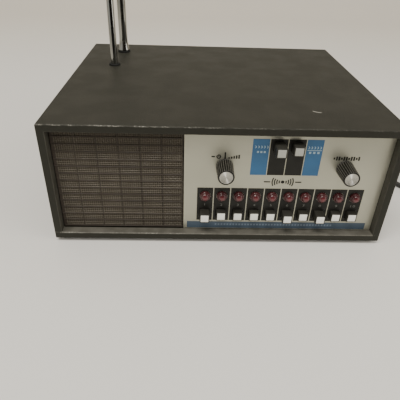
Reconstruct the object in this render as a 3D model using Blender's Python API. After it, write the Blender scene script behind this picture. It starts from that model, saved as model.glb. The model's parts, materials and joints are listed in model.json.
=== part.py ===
"""Ten-channel desktop scanner receiver, built as an assembly of separate parts.

Metres, +Z up. The origin is on the table under the middle of the cabinet, and the front faces -Y.
Antennas are pushed in, the knobs stand at their left stops, and each button is as it was left.
"""

import math

import bmesh
import bpy
from mathutils import Matrix, Vector

MM = 0.001
GAP = 0.3 * MM  # air between neighbouring solids

# Cabinet: a four-sided sleeve of board, open at the front and the rear
WIDTH = 254 * MM
HEIGHT = 94.5 * MM
DEPTH = 221.8 * MM
BOARD = 5.5 * MM
FOOT_HEIGHT = 3 * MM
FOOT_RADIUS = 8 * MM
FOOT_INSET = 13 * MM

UNDERSIDE = FOOT_HEIGHT
TOP = FOOT_HEIGHT + HEIGHT
FRONT = -DEPTH / 2
REAR = DEPTH / 2
INNER_X = WIDTH / 2 - BOARD
INNER_LOW = UNDERSIDE + BOARD
INNER_HIGH = TOP - BOARD
INNER_MID_Z = (INNER_LOW + INNER_HIGH) / 2

# Front panel and speaker grille, side by side at the back of a shallow recess
PANEL_Y = FRONT + 7.1 * MM
PANEL_THICKNESS = 1.5 * MM
PANEL_BACK = PANEL_Y + PANEL_THICKNESS
PANEL_LEFT = -28.4 * MM
GRILLE_COLUMN = 15.3 * MM
GRILLE_ROW = 5.83 * MM
GRILLE_COLUMNS = 6
GRILLE_ROWS = 14
GRILLE_RIB = 1.2 * MM
GRILLE_DEPTH = 1.2 * MM
SCREEN_THICKNESS = 0.5 * MM

# Channel row: ten lamps over ten buttons
PITCH = 12.7 * MM
CHANNELS = 10
ROW_X = 45.1 * MM
LAMP_Z = UNDERSIDE + 36.3 * MM
LAMP_RADIUS = 3.9 * MM
LAMP_BARREL = 2.4 * MM  # straight part of a lens in front of the panel
LAMP_DOME = 2.2 * MM
CHANNEL_Z = UNDERSIDE + 20.3 * MM
LATCHED_IN = (2, 3, 4, 5, 7, 9, 10)
CHANNEL_OUT = 7.9 * MM
CHANNEL_TRAVEL = 3.1 * MM

# Buttons
BUTTON_SIDE = 7.4 * MM
BUTTON_HIDDEN = 5.5 * MM  # cap length behind the panel's face when the button is out
STEM_SIDE = 3 * MM
STEM_LENGTH = 14 * MM
FUNCTION_X = 45.15 * MM
FUNCTION_Z = UNDERSIDE + 78 * MM
FUNCTION_OUT = 11.2 * MM
FUNCTION_TRAVEL = 3 * MM
SWITCH_FRONT = PANEL_Y + 9.4 * MM
SWITCH_DEPTH = 18 * MM

# Knobs, at the front of the whole object
KNOB_Z = UNDERSIDE + 61.8 * MM
VOLUME_X = 1.1 * MM
SQUELCH_X = 88.9 * MM
KNOB_LENGTH = 17 * MM
KNOB_FACE_Y = PANEL_Y - KNOB_LENGTH
KNOB_BASE_RADIUS = 6.45 * MM
KNOB_FACE_RADIUS = 5.95 * MM
KNOB_DISC_RADIUS = 4.75 * MM
FLUTES = 24
FLUTE_DEPTH = 0.4 * MM
SHAFT_RADIUS = 3 * MM

# Antennas: tubes that slide in each other, each this much thinner than the last
ANTENNA_STEP = 0.6 * MM
ANTENNA_WALL = 0.3 * MM
ANTENNA_FOOT_Z = 52 * MM
ANTENNA_FLOOR_Z = 64 * MM  # where the sliding sections' lower ends rest
BRACKET_TOP = 60 * MM
BRACKET_X = -93.4 * MM
FRONT_ANTENNA = {"place": (-94.7 * MM, 31.4 * MM), "radius": 3.1 * MM, "sections": 4, "base_top": 191 * MM}
REAR_ANTENNA = {"place": (-92.1 * MM, 80.3 * MM), "radius": 4.1 * MM, "sections": 5, "base_top": 223 * MM}
GROMMET_RISE = 1.5 * MM  # above the top board
COLLAR_PROFILE = ((1.6, 0.3), (1.7, 1.1), (1.0, 3.3), (0.5, 6.3), (0.1, 9.7))  # mm past tube and grommet

# Rear: a recessed panel, with the strain relief as far behind the middle as the knobs are in front
REAR_PANEL_OUTER = REAR - 12 * MM
REAR_PANEL_THICKNESS = 1.2 * MM
REAR_PANEL_INNER = REAR_PANEL_OUTER - REAR_PANEL_THICKNESS
RELIEF_END = -KNOB_FACE_Y
CORD_EXIT_X = 80 * MM
CORD_EXIT_Z = 24 * MM
ANTENNA_JACK_X = -62 * MM
SPEAKER_JACK_X = -34 * MM
JACK_Z = 30 * MM

# Inside
SPEAKER_X = -75 * MM
SPEAKER_Y = PANEL_Y + 5 * MM
CHASSIS_Z = 9.5 * MM
CHASSIS_SHEET = 1.2 * MM
CHASSIS_HALF_WIDTH = 118 * MM
BOARD_Z = 24 * MM
BOARD_THICKNESS = 1.6 * MM

# Mains cord: 1.8 m, all of it but its two ends wound in a coil
CORD_RADIUS = 2.3 * MM
COIL_RADIUS = 26.6 * MM  # middle of the bundle of turns
COIL_COLUMNS = 3
COIL_LAYERS = 4
COIL_CENTRE = (226 * MM, -22 * MM)
CORD_ROUTE = (
    (80.0, 121.1, 24.0),
    (80.0, 131.0, 23.4),
    (80.6, 141.0, 19.0),
    (83.0, 151.0, 11.5),
    (88.0, 161.0, 5.2),
    (97.0, 169.5, 2.6),
    (110.0, 174.0, 2.4),
    (125.0, 172.0, 2.4),
    (138.5, 162.5, 2.4),
    (148.0, 147.0, 2.4),
    (154.0, 127.0, 2.4),
    (157.5, 105.0, 2.4),
    (159.5, 82.0, 2.4),
    (161.0, 59.0, 2.4),
    (163.5, 36.5, 2.4),
    (167.5, 15.0, 2.4),
    (173.8, -5.5, 2.4),
    (182.0, -21.2, 2.4),
    (190.8, -30.8, 2.4),
)  # millimetres along the cord's middle line, from the strain relief to the coil
TAIL_ROUTE = (
    (257.2, -3.5, 14.6),
    (257.2, 4.0, 11.6),
    (257.2, 11.0, 8.9),
    (257.2, 17.0, 7.5),
    (257.2, 22.0, 7.0),
)  # millimetres, from the top of the coil to the plug
PLUG_AXIS_Z = 7 * MM

LOOKS = {  # colour, roughness, metallic
    "vinyl": ((0.045, 0.043, 0.036), 0.55, 0.0),
    "rubber": ((0.02, 0.02, 0.02), 0.8, 0.0),
    "satin_aluminium": ((0.42, 0.41, 0.37), 0.4, 0.85),
    "black_plastic": ((0.02, 0.02, 0.018), 0.45, 0.0),
    "bronze_screen": ((0.14, 0.085, 0.045), 0.6, 0.3),
    "red_lens": ((0.35, 0.01, 0.01), 0.15, 0.0),
    "white_plastic": ((0.75, 0.74, 0.68), 0.35, 0.0),
    "chrome": ((0.75, 0.75, 0.76), 0.12, 1.0),
    "zinc_steel": ((0.5, 0.5, 0.48), 0.45, 0.9),
    "circuit_board": ((0.12, 0.09, 0.03), 0.6, 0.0),
    "paper_cone": ((0.05, 0.045, 0.04), 0.9, 0.0),
    "ferrite": ((0.06, 0.06, 0.065), 0.7, 0.0),
    "grey_insulator": ((0.2, 0.2, 0.19), 0.7, 0.0),
    "cord_rubber": ((0.025, 0.024, 0.022), 0.6, 0.0),
}


def clear_scene():
    for item in list(bpy.data.objects):
        bpy.data.objects.remove(item, do_unlink=True)


def look(name):
    """The named material, made on first use."""
    found = bpy.data.materials.get(name)
    if found:
        return found
    colour, roughness, metallic = LOOKS[name]
    made = bpy.data.materials.new(name)
    made.use_nodes = True
    shader = made.node_tree.nodes["Principled BSDF"]
    shader.inputs["Base Color"].default_value = (*colour, 1.0)
    shader.inputs["Roughness"].default_value = roughness
    shader.inputs["Metallic"].default_value = metallic
    return made


def place(name, bm, origin=(0, 0, 0)):
    """Turn a bmesh in world coordinates into an object whose origin is at the given point."""
    bmesh.ops.recalc_face_normals(bm, faces=bm.faces)
    bmesh.ops.translate(bm, vec=-Vector(origin), verts=bm.verts)
    mesh = bpy.data.meshes.new(name)
    bm.to_mesh(mesh)
    bm.free()
    made = bpy.data.objects.new(name, mesh)
    made.location = origin
    bpy.context.scene.collection.objects.link(made)
    return made


def part(name, bm, finish, origin=(0, 0, 0), smooth=False):
    made = place(name, bm, origin)
    made.data.materials.append(look(finish))
    if smooth:
        made.data.shade_smooth()
        made.data.set_sharp_from_angle(angle=math.radians(35))
    return made


def combine(target, operation, bm):
    """Cut or join the target with a hidden tool body."""
    tool = place(f"{target.name}_{operation.lower()}", bm)
    tool.hide_render = True
    tool.display_type = "WIRE"
    modifier = target.modifiers.new(operation.title(), "BOOLEAN")
    modifier.operation = operation
    modifier.solver = "EXACT"
    modifier.object = tool


def soften(target, width, segments=1):
    modifier = target.modifiers.new("Bevel", "BEVEL")
    modifier.width = width
    modifier.segments = segments
    modifier.limit_method = "ANGLE"
    modifier.angle_limit = math.radians(50)


def add_block(bm, low, high):
    """A box between two corners."""
    cube = bmesh.ops.create_cube(bm, size=1.0)["verts"]
    size = Vector(high) - Vector(low)
    bmesh.ops.scale(bm, vec=size, verts=cube)
    bmesh.ops.translate(bm, vec=(Vector(high) + Vector(low)) / 2, verts=cube)


def add_prism(bm, outline, direction):
    """A flat outline pushed along a direction."""
    corners = [bm.verts.new(point) for point in outline]
    face = bm.faces.new(corners)
    pushed = bmesh.ops.extrude_face_region(bm, geom=[face])["geom"]
    moved = [item for item in pushed if isinstance(item, bmesh.types.BMVert)]
    bmesh.ops.translate(bm, vec=direction, verts=moved)


def turning(axis, centre):
    """Matrix that stands a shape turned about +Z at a centre, along the named axis."""
    turn = {"Z": Matrix.Identity(4), "Y": Matrix.Rotation(-math.pi / 2, 4, "X")}[axis]
    return Matrix.Translation(centre) @ turn


def add_turned(bm, outline, axis, centre, sides=24, flute=0.0, fluted=()):
    """A body turned from a closed outline of (radius, distance along the axis).

    Points with no radius lie on the axis. Every other vertex of the points whose numbers are in
    fluted is pulled in by the flute depth.
    """
    frame = turning(axis, centre)
    rings = []
    for number, (radius, along) in enumerate(outline):
        if radius == 0:
            rings.append([bm.verts.new(frame @ Vector((0, 0, along)))])
            continue
        ring = []
        for step in range(sides):
            angle = 2 * math.pi * step / sides
            out = radius - flute * (step % 2) * (number in fluted)
            ring.append(bm.verts.new(frame @ Vector((out * math.cos(angle), out * math.sin(angle), along))))
        rings.append(ring)
    for first, second in zip(rings, rings[1:] + rings[:1]):
        join_rings(bm, first, second, sides)


def join_rings(bm, first, second, sides):
    if len(first) == 1 and len(second) == 1:
        return
    for step in range(sides):
        after = (step + 1) % sides
        corners = [first[step % len(first)], first[after % len(first)]]
        corners += [second[after % len(second)], second[step % len(second)]]
        bm.faces.new(list(dict.fromkeys(corners)))


def rod_outline(radius, low, high):
    return [(0, low), (radius, low), (radius, high), (0, high)]


def tube_outline(inner, outer, low, high):
    return [(inner, low), (outer, low), (outer, high), (inner, high)]


# --- cabinet -------------------------------------------------------------------------------------


def cabinet_board(name, outer_a, outer_b, inward):
    """One mitred board of the sleeve, from its outer edge in X and Z and its inward direction."""
    along = (outer_b - outer_a).normalized()
    relief = along * (GAP / math.sqrt(2))
    shift = along * BOARD
    corners = [outer_a + relief, outer_b - relief]
    corners += [outer_b - relief - shift + inward * BOARD, outer_a + relief + shift + inward * BOARD]
    bm = bmesh.new()
    add_prism(bm, [(corner.x, FRONT, corner.y) for corner in corners], (0, DEPTH, 0))
    return part(name, bm, "vinyl")


def cabinet():
    half = WIDTH / 2
    low_left = Vector((-half, UNDERSIDE))
    low_right = Vector((half, UNDERSIDE))
    high_left = Vector((-half, TOP))
    high_right = Vector((half, TOP))
    top = cabinet_board("cabinet_top", high_left, high_right, Vector((0, -1)))
    cabinet_board("cabinet_bottom", low_left, low_right, Vector((0, 1)))
    cabinet_board("cabinet_left", low_left, high_left, Vector((1, 0)))
    cabinet_board("cabinet_right", low_right, high_right, Vector((-1, 0)))
    holes = bmesh.new()
    for antenna in (FRONT_ANTENNA, REAR_ANTENNA):
        hole = rod_outline(grommet_neck(antenna) + GAP, INNER_HIGH - BOARD, TOP + BOARD)
        add_turned(holes, hole, "Z", (*antenna["place"], 0))
    combine(top, "DIFFERENCE", holes)


def feet():
    across = WIDTH / 2 - FOOT_INSET
    along = DEPTH / 2 - FOOT_INSET
    corners = {
        "front_left": (-across, -along),
        "front_right": (across, -along),
        "rear_left": (-across, along),
        "rear_right": (across, along),
    }
    for corner, (x, y) in corners.items():
        bm = bmesh.new()
        outline = [(0, 0), (FOOT_RADIUS - 0.8 * MM, 0), (FOOT_RADIUS, 0.8 * MM)]
        outline += [(FOOT_RADIUS, FOOT_HEIGHT - GAP), (0, FOOT_HEIGHT - GAP)]
        add_turned(bm, outline, "Z", (x, y, 0), sides=20)
        part(f"foot_{corner}", bm, "rubber", smooth=True)


# --- front ---------------------------------------------------------------------------------------


def channel_x(channel):
    """Middle of a channel's lamp and button, counted from 1 at the left."""
    return ROW_X + (channel - (CHANNELS + 1) / 2) * PITCH


def square_hole(bm, x, z, side):
    low = (x - side / 2, PANEL_Y - 5 * MM, z - side / 2)
    high = (x + side / 2, PANEL_BACK + 5 * MM, z + side / 2)
    add_block(bm, low, high)


def round_hole(bm, x, z, radius):
    add_turned(bm, rod_outline(radius, PANEL_Y - 5 * MM, PANEL_BACK + 5 * MM), "Y", (x, 0, z), sides=16)


def front_panel():
    bm = bmesh.new()
    add_block(
        bm,
        (PANEL_LEFT + GAP, PANEL_Y, INNER_LOW + GAP),
        (INNER_X - GAP, PANEL_BACK, INNER_HIGH - GAP),
    )
    panel = part("front_panel", bm, "satin_aluminium")
    holes = bmesh.new()
    button_hole = BUTTON_SIDE + 2 * GAP
    for channel in range(1, CHANNELS + 1):
        square_hole(holes, channel_x(channel), CHANNEL_Z, button_hole)
        round_hole(holes, channel_x(channel), LAMP_Z, LAMP_RADIUS + GAP)
    for side in (-1, 1):
        square_hole(holes, FUNCTION_X + side * PITCH / 2, FUNCTION_Z, button_hole)
    for x in (VOLUME_X, SQUELCH_X):
        round_hole(holes, x, KNOB_Z, SHAFT_RADIUS + 2 * GAP)
    combine(panel, "DIFFERENCE", holes)


def grid_lines(start, pitch, count, rib, end):
    """Edges of the ribs along one direction of the grille: rim, then ribs at a pitch, then rim."""
    lines = [start]
    for number in range(count):
        lines.append(start + number * pitch + rib)
        lines.append(start + (number + 1) * pitch)
    lines.append(end)
    return lines


def speaker_grille():
    """Ribbed plate: faces between the ribs are left out and the rest is given its depth."""
    right = PANEL_LEFT - GAP
    left = -INNER_X + GAP
    bottom = INNER_LOW + GAP
    top = INNER_HIGH - GAP
    first_column = right - GRILLE_COLUMNS * GRILLE_COLUMN - GRILLE_RIB / 2
    first_row = top - GRILLE_ROWS * GRILLE_ROW - GRILLE_RIB / 2
    across = [left] + grid_lines(first_column, GRILLE_COLUMN, GRILLE_COLUMNS, GRILLE_RIB, right)[1:]
    up = [bottom] + grid_lines(first_row, GRILLE_ROW, GRILLE_ROWS, GRILLE_RIB, top)[1:]
    bm = bmesh.new()
    grid = [[bm.verts.new((x, PANEL_Y, z)) for z in up] for x in across]
    for i in range(len(across) - 1):
        for j in range(len(up) - 1):
            if i % 2 == 1 and j % 2 == 1:
                continue
            bm.faces.new((grid[i][j], grid[i + 1][j], grid[i + 1][j + 1], grid[i][j + 1]))
    pushed = bmesh.ops.extrude_face_region(bm, geom=bm.faces[:])["geom"]
    moved = [item for item in pushed if isinstance(item, bmesh.types.BMVert)]
    bmesh.ops.translate(bm, vec=(0, GRILLE_DEPTH, 0), verts=moved)
    part("speaker_grille", bm, "black_plastic")
    screen = bmesh.new()
    screen_y = PANEL_Y + GRILLE_DEPTH + GAP
    add_block(screen, (left, screen_y, bottom), (right, screen_y + SCREEN_THICKNESS, top))
    part("speaker_screen", screen, "bronze_screen")


def lamp_lens_strip():
    """One red moulding behind the panel, with a dome through each lamp hole."""
    back = PANEL_BACK + GAP
    bm = bmesh.new()
    half = (CHANNELS / 2) * PITCH
    add_block(bm, (ROW_X - half, back, LAMP_Z - 5 * MM), (ROW_X + half, back + 1.5 * MM, LAMP_Z + 5 * MM))
    strip = part("lamp_lens_strip", bm, "red_lens", smooth=True)
    domes = bmesh.new()
    for channel in range(1, CHANNELS + 1):
        shoulder = PANEL_Y - LAMP_BARREL
        outline = [(0, shoulder - LAMP_DOME)]
        for step in (1, 2, 3):
            angle = math.radians(90 * step / 3)
            outline.append((LAMP_RADIUS * math.sin(angle), shoulder - LAMP_DOME * math.cos(angle)))
        outline += [(LAMP_RADIUS, back + 0.8 * MM), (0, back + 0.8 * MM)]
        add_turned(domes, outline, "Y", (channel_x(channel), 0, LAMP_Z), sides=14)
    combine(strip, "UNION", domes)


def push_button(name, x, z, protrusion, cap_length):
    """A square cap with a thin stem behind it; its origin is in the middle of its face."""
    face_y = PANEL_Y - protrusion
    half = BUTTON_SIDE / 2
    bm = bmesh.new()
    add_block(bm, (x - half, face_y, z - half), (x + half, face_y + cap_length, z + half))
    cap = part(name, bm, "white_plastic", origin=(x, face_y, z))
    soften(cap, 0.5 * MM)
    stem = bmesh.new()
    half_stem = STEM_SIDE / 2
    stem_start = face_y + cap_length - 1 * MM
    stem_end = face_y + cap_length + STEM_LENGTH
    add_block(stem, (x - half_stem, stem_start, z - half_stem), (x + half_stem, stem_end, z + half_stem))
    combine(cap, "UNION", stem)


def buttons():
    for channel in range(1, CHANNELS + 1):
        latched = channel in LATCHED_IN
        protrusion = CHANNEL_OUT - (CHANNEL_TRAVEL if latched else 0)
        cap_length = CHANNEL_OUT + BUTTON_HIDDEN
        push_button(f"channel_button_{channel}", channel_x(channel), CHANNEL_Z, protrusion, cap_length)
    cap_length = FUNCTION_OUT + BUTTON_HIDDEN
    left = FUNCTION_X - PITCH / 2
    right = FUNCTION_X + PITCH / 2
    push_button("channel_select_button", left, FUNCTION_Z, FUNCTION_OUT, cap_length)
    push_button("scan_manual_button", right, FUNCTION_Z, FUNCTION_OUT - FUNCTION_TRAVEL, cap_length)


def switch_block(name, places, z, height):
    """A switch housing behind the panel, with a square way through for each stem."""
    half = PITCH / 2 - 1 * MM
    low = (places[0] - half, SWITCH_FRONT, z - height / 2)
    high = (places[-1] + half, SWITCH_FRONT + SWITCH_DEPTH, z + height / 2)
    bm = bmesh.new()
    add_block(bm, low, high)
    block = part(name, bm, "grey_insulator")
    ways = bmesh.new()
    half_way = STEM_SIDE / 2 + GAP
    for x in places:
        add_block(
            ways,
            (x - half_way, SWITCH_FRONT - 2 * MM, z - half_way),
            (x + half_way, SWITCH_FRONT + SWITCH_DEPTH + 2 * MM, z + half_way),
        )
    combine(block, "DIFFERENCE", ways)


def switches():
    channel_places = [channel_x(channel) for channel in range(1, CHANNELS + 1)]
    switch_block("channel_switch_bank", channel_places, CHANNEL_Z, 14 * MM)
    function_places = [FUNCTION_X - PITCH / 2, FUNCTION_X + PITCH / 2]
    switch_block("function_switch", function_places, FUNCTION_Z, 12 * MM)


def lamp_board():
    """A board across the back of the lens strip, with a bulb behind each lens."""
    face = SWITCH_FRONT + 2 * MM
    half = (CHANNELS / 2) * PITCH
    bm = bmesh.new()
    low = (ROW_X - half, face, LAMP_Z - 5 * MM)
    add_block(bm, low, (ROW_X + half, face + BOARD_THICKNESS, LAMP_Z + 5 * MM))
    board = part("lamp_board", bm, "circuit_board")
    bulbs = bmesh.new()
    tip = PANEL_BACK + 2.5 * MM
    for channel in range(1, CHANNELS + 1):
        outline = [(0, tip), (1.0 * MM, tip + 0.3 * MM), (1.5 * MM, tip + 1.2 * MM)]
        outline += [(1.5 * MM, face + 0.8 * MM), (0, face + 0.8 * MM)]
        add_turned(bulbs, outline, "Y", (channel_x(channel), 0, LAMP_Z), sides=10)
    combine(board, "UNION", bulbs)


def rotary_control(name, x):
    """Knob, shaft and potentiometer on one axis through the panel."""
    bore = SHAFT_RADIUS + GAP
    bore_end = KNOB_FACE_Y + 3 * MM
    back = PANEL_Y - 0.6 * MM
    disc_y = KNOB_FACE_Y + 0.4 * MM
    rim = KNOB_DISC_RADIUS + 0.25 * MM
    knob = bmesh.new()
    outline = [(0, bore_end), (bore, bore_end), (bore, back)]
    outline += [(KNOB_BASE_RADIUS, back), (KNOB_FACE_RADIUS, KNOB_FACE_Y + 0.5 * MM)]
    outline += [(rim + 0.4 * MM, KNOB_FACE_Y), (rim, KNOB_FACE_Y), (KNOB_DISC_RADIUS, disc_y), (0, disc_y)]
    add_turned(knob, outline, "Y", (x, 0, KNOB_Z), sides=2 * FLUTES, flute=FLUTE_DEPTH, fluted=(3, 4))
    part(f"{name}_knob", knob, "black_plastic", origin=(x, KNOB_FACE_Y, KNOB_Z), smooth=True)

    shaft_end = PANEL_BACK + 12 * MM
    shaft = bmesh.new()
    add_turned(shaft, rod_outline(SHAFT_RADIUS, bore_end + GAP, shaft_end), "Y", (x, 0, KNOB_Z), sides=16)
    part(f"{name}_shaft", shaft, "zinc_steel", origin=(x, PANEL_Y, KNOB_Z), smooth=True)

    body = bmesh.new()
    bushing_front = PANEL_BACK + GAP
    can_front = bushing_front + 4 * MM
    can_back = shaft_end + 3 * MM
    outline = [(bore, bushing_front), (4.5 * MM, bushing_front), (4.5 * MM, can_front)]
    outline += [(8.5 * MM, can_front), (8.5 * MM, can_back), (0, can_back)]
    outline += [(0, shaft_end + GAP), (bore, shaft_end + GAP)]
    add_turned(body, outline, "Y", (x, 0, KNOB_Z), sides=20)
    part(f"{name}_control", body, "zinc_steel", smooth=True)


# --- antennas ------------------------------------------------------------------------------------


def grommet_neck(antenna):
    return antenna["radius"] + 1.2 * MM


def grommet(name, antenna):
    bore = antenna["radius"] + GAP
    neck = grommet_neck(antenna)
    flange = neck + 0.9 * MM
    seat = TOP + GAP
    crest = TOP + GROMMET_RISE
    outline = [(bore, INNER_HIGH), (neck, INNER_HIGH), (neck, seat), (flange, seat)]
    outline += [(flange, crest - 0.5 * MM), (flange - 0.5 * MM, crest), (bore, crest)]
    bm = bmesh.new()
    add_turned(bm, outline, "Z", (*antenna["place"], 0))
    part(name, bm, "rubber", smooth=True)


def antenna_sections(name, antenna):
    """A fixed base tube and sliding sections inside it; the last is a rod with a round tip."""
    x, y = antenna["place"]
    last = antenna["sections"] - 1
    for number in range(antenna["sections"]):
        radius = antenna["radius"] - number * ANTENNA_STEP
        low = ANTENNA_FLOOR_Z if number else ANTENNA_FOOT_Z
        high = antenna["base_top"] + number * 3 * MM
        if number < last:
            outline = tube_outline(radius - ANTENNA_WALL, radius, low, high)
            if number == 0 and antenna is REAR_ANTENNA:
                outline[2:2] = collar_outline(radius)
        else:
            outline = tip_outline(radius, low, high)
        bm = bmesh.new()
        add_turned(bm, outline, "Z", (x, y, 0), sides=20)
        section = "base" if number == 0 else f"section_{number}"
        part(f"{name}_{section}", bm, "chrome", origin=(x, y, low), smooth=True)


def collar_outline(radius):
    """The flared foot of the thicker antenna, just clear of its grommet."""
    foot = TOP + GROMMET_RISE
    outline = [(radius, foot + COLLAR_PROFILE[0][1] * MM)]
    outline += [(radius + out * MM, foot + up * MM) for out, up in COLLAR_PROFILE]
    return outline + [(radius, foot + (COLLAR_PROFILE[-1][1] + 0.1) * MM)]


def tip_outline(radius, low, high):
    """A rod that ends in a ball, whose lower side starts above the sections around it."""
    ball = 2.6 * MM
    outline = [(0, low), (radius, low), (radius, high + 0.8 * MM)]
    for step in range(1, 5):
        angle = math.radians(-60 + 150 * step / 5)
        outline.append((ball * math.cos(angle), high + 0.8 * MM + ball + ball * math.sin(angle)))
    outline.append((0, high + 0.8 * MM + 2 * ball))
    return outline


def antenna_mount():
    """An insulating bridge on the chassis, whose beam holds both antenna bases."""
    front = FRONT_ANTENNA["place"][1] - 12 * MM
    back = REAR_ANTENNA["place"][1] + 10 * MM
    foot = CHASSIS_Z + CHASSIS_SHEET + GAP
    beam = BRACKET_TOP - 5 * MM
    wall = 4 * MM
    left = BRACKET_X - 9 * MM
    outline = [(left, front, foot), (left, front, BRACKET_TOP), (left, back, BRACKET_TOP), (left, back, foot)]
    outline += [(left, back - wall, foot), (left, back - wall, beam)]
    outline += [(left, front + wall, beam), (left, front + wall, foot)]
    bm = bmesh.new()
    add_prism(bm, outline, (18 * MM, 0, 0))
    mount = part("antenna_mount", bm, "grey_insulator")
    holes = bmesh.new()
    for antenna in (FRONT_ANTENNA, REAR_ANTENNA):
        hole = rod_outline(antenna["radius"] + GAP, beam - 2 * MM, BRACKET_TOP + 2 * MM)
        add_turned(holes, hole, "Z", (*antenna["place"], 0))
    combine(mount, "DIFFERENCE", holes)


def antennas():
    grommet("front_antenna_grommet", FRONT_ANTENNA)
    grommet("rear_antenna_grommet", REAR_ANTENNA)
    antenna_sections("front_antenna", FRONT_ANTENNA)
    antenna_sections("rear_antenna", REAR_ANTENNA)
    antenna_mount()


# --- inside --------------------------------------------------------------------------------------


def loudspeaker():
    place_at = (SPEAKER_X, SPEAKER_Y, INNER_MID_Z)
    basket_outline = [(33.8, 0), (38.5, 0), (38.5, 1.2), (35.3, 1.2), (20, 20)]
    basket_outline += [(8, 20), (8, 18.8), (19, 18.8), (33.8, 1.4)]
    cone_outline = [(0, 10.5), (7.5, 13), (33.3, 0.4), (33.3, 1.1), (7.5, 13.7), (0, 11.2)]
    magnet_outline = [(0, 20.3), (16, 20.3), (17, 21.3), (17, 32), (16, 33), (0, 33)]
    pieces = {
        "speaker_frame": (basket_outline, "zinc_steel"),
        "speaker_cone": (cone_outline, "paper_cone"),
        "speaker_magnet": (magnet_outline, "ferrite"),
    }
    for name, (outline, finish) in pieces.items():
        bm = bmesh.new()
        add_turned(bm, [(radius * MM, along * MM) for radius, along in outline], "Y", place_at, sides=28)
        part(name, bm, finish, smooth=True)


def chassis():
    """A tray of folded sheet, with posts for the main board."""
    front = PANEL_BACK + 7 * MM
    low = CHASSIS_Z
    high = low + 16 * MM
    out = CHASSIS_HALF_WIDTH
    inner = out - CHASSIS_SHEET
    outline = [(-out, front, low), (-out, front, high), (-inner, front, high)]
    outline += [(-inner, front, low + CHASSIS_SHEET), (inner, front, low + CHASSIS_SHEET)]
    outline += [(inner, front, high), (out, front, high), (out, front, low)]
    bm = bmesh.new()
    add_prism(bm, outline, (0, REAR_PANEL_INNER - 1 * MM - front, 0))
    tray = part("chassis", bm, "zinc_steel")
    posts = bmesh.new()
    for x in (-22 * MM, 110 * MM):
        for y in (-55 * MM, 22 * MM):
            add_turned(posts, rod_outline(3 * MM, low + 0.5 * MM, BOARD_Z - GAP), "Z", (x, y, 0), sides=12)
    combine(tray, "UNION", posts)


def main_board():
    """The circuit board with its tuned cans, electrolytics and driver transformer."""
    bm = bmesh.new()
    add_block(bm, (-28 * MM, -62 * MM, BOARD_Z), (116 * MM, 30 * MM, BOARD_Z + BOARD_THICKNESS))
    board = part("main_board", bm, "circuit_board")
    fitted = bmesh.new()
    seat = BOARD_Z + 0.8 * MM
    for number in range(6):
        x = (-18 + 15 * number) * MM
        add_block(fitted, (x, -30 * MM, seat), (x + 8 * MM, -22 * MM, seat + 14 * MM))
    for number in range(3):
        x = (-12 + 18 * number) * MM
        add_turned(fitted, rod_outline(5 * MM, seat, seat + 22 * MM), "Z", (x, 12 * MM, 0), sides=12)
    add_block(fitted, (80 * MM, -10 * MM, seat), (104 * MM, 12 * MM, seat + 18 * MM))
    combine(board, "UNION", fitted)


def crystal_row():
    """Ten plug-in crystals in one socket strip on the front edge of the main board."""
    low = BOARD_Z + BOARD_THICKNESS + GAP
    half = (CHANNELS / 2) * PITCH
    bm = bmesh.new()
    add_block(bm, (ROW_X - half, -58 * MM, low), (ROW_X + half, -49 * MM, low + 5 * MM))
    strip = part("crystal_row", bm, "zinc_steel")
    cans = bmesh.new()
    for channel in range(1, CHANNELS + 1):
        x = channel_x(channel)
        add_block(
            cans,
            (x - 5.2 * MM, -56 * MM, low + 4 * MM),
            (x + 5.2 * MM, -51.5 * MM, low + 18 * MM),
        )
    combine(strip, "UNION", cans)


def power_transformer():
    """Laminated core with the winding bulging out of both of its open sides."""
    low = CHASSIS_Z + CHASSIS_SHEET + GAP
    bm = bmesh.new()
    add_block(bm, (62 * MM, 48 * MM, low), (108 * MM, 66 * MM, low + 40 * MM))
    core = part("power_transformer", bm, "ferrite")
    winding = bmesh.new()
    add_block(winding, (70 * MM, 41 * MM, low + 8 * MM), (100 * MM, 73 * MM, low + 32 * MM))
    combine(core, "UNION", winding)


# --- rear ----------------------------------------------------------------------------------------


def rear_panel():
    bm = bmesh.new()
    reach = INNER_X - GAP
    low = (-reach, REAR_PANEL_INNER, INNER_LOW + GAP)
    add_block(bm, low, (reach, REAR_PANEL_OUTER, INNER_HIGH - GAP))
    panel = part("rear_panel", bm, "black_plastic")
    openings = bmesh.new()
    before = REAR_PANEL_INNER - 2 * MM
    after = REAR_PANEL_OUTER + 2 * MM
    round_openings = {
        CORD_EXIT_X: (CORD_EXIT_Z, 4.8 * MM),
        ANTENNA_JACK_X: (JACK_Z, 5.8 * MM),
        SPEAKER_JACK_X: (JACK_Z, 3.3 * MM),
    }
    for x, (z, radius) in round_openings.items():
        add_turned(openings, rod_outline(radius, before, after), "Y", (x, 0, z), sides=16)
    for number in range(6):
        z = (58 + 5 * number) * MM
        add_block(openings, (30 * MM, before, z), (100 * MM, after, z + 2.2 * MM))
    combine(panel, "DIFFERENCE", openings)


def rear_fitting(name, x, z, outline, finish):
    bm = bmesh.new()
    add_turned(bm, outline, "Y", (x, 0, z), sides=20)
    part(name, bm, finish, smooth=True)


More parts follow.
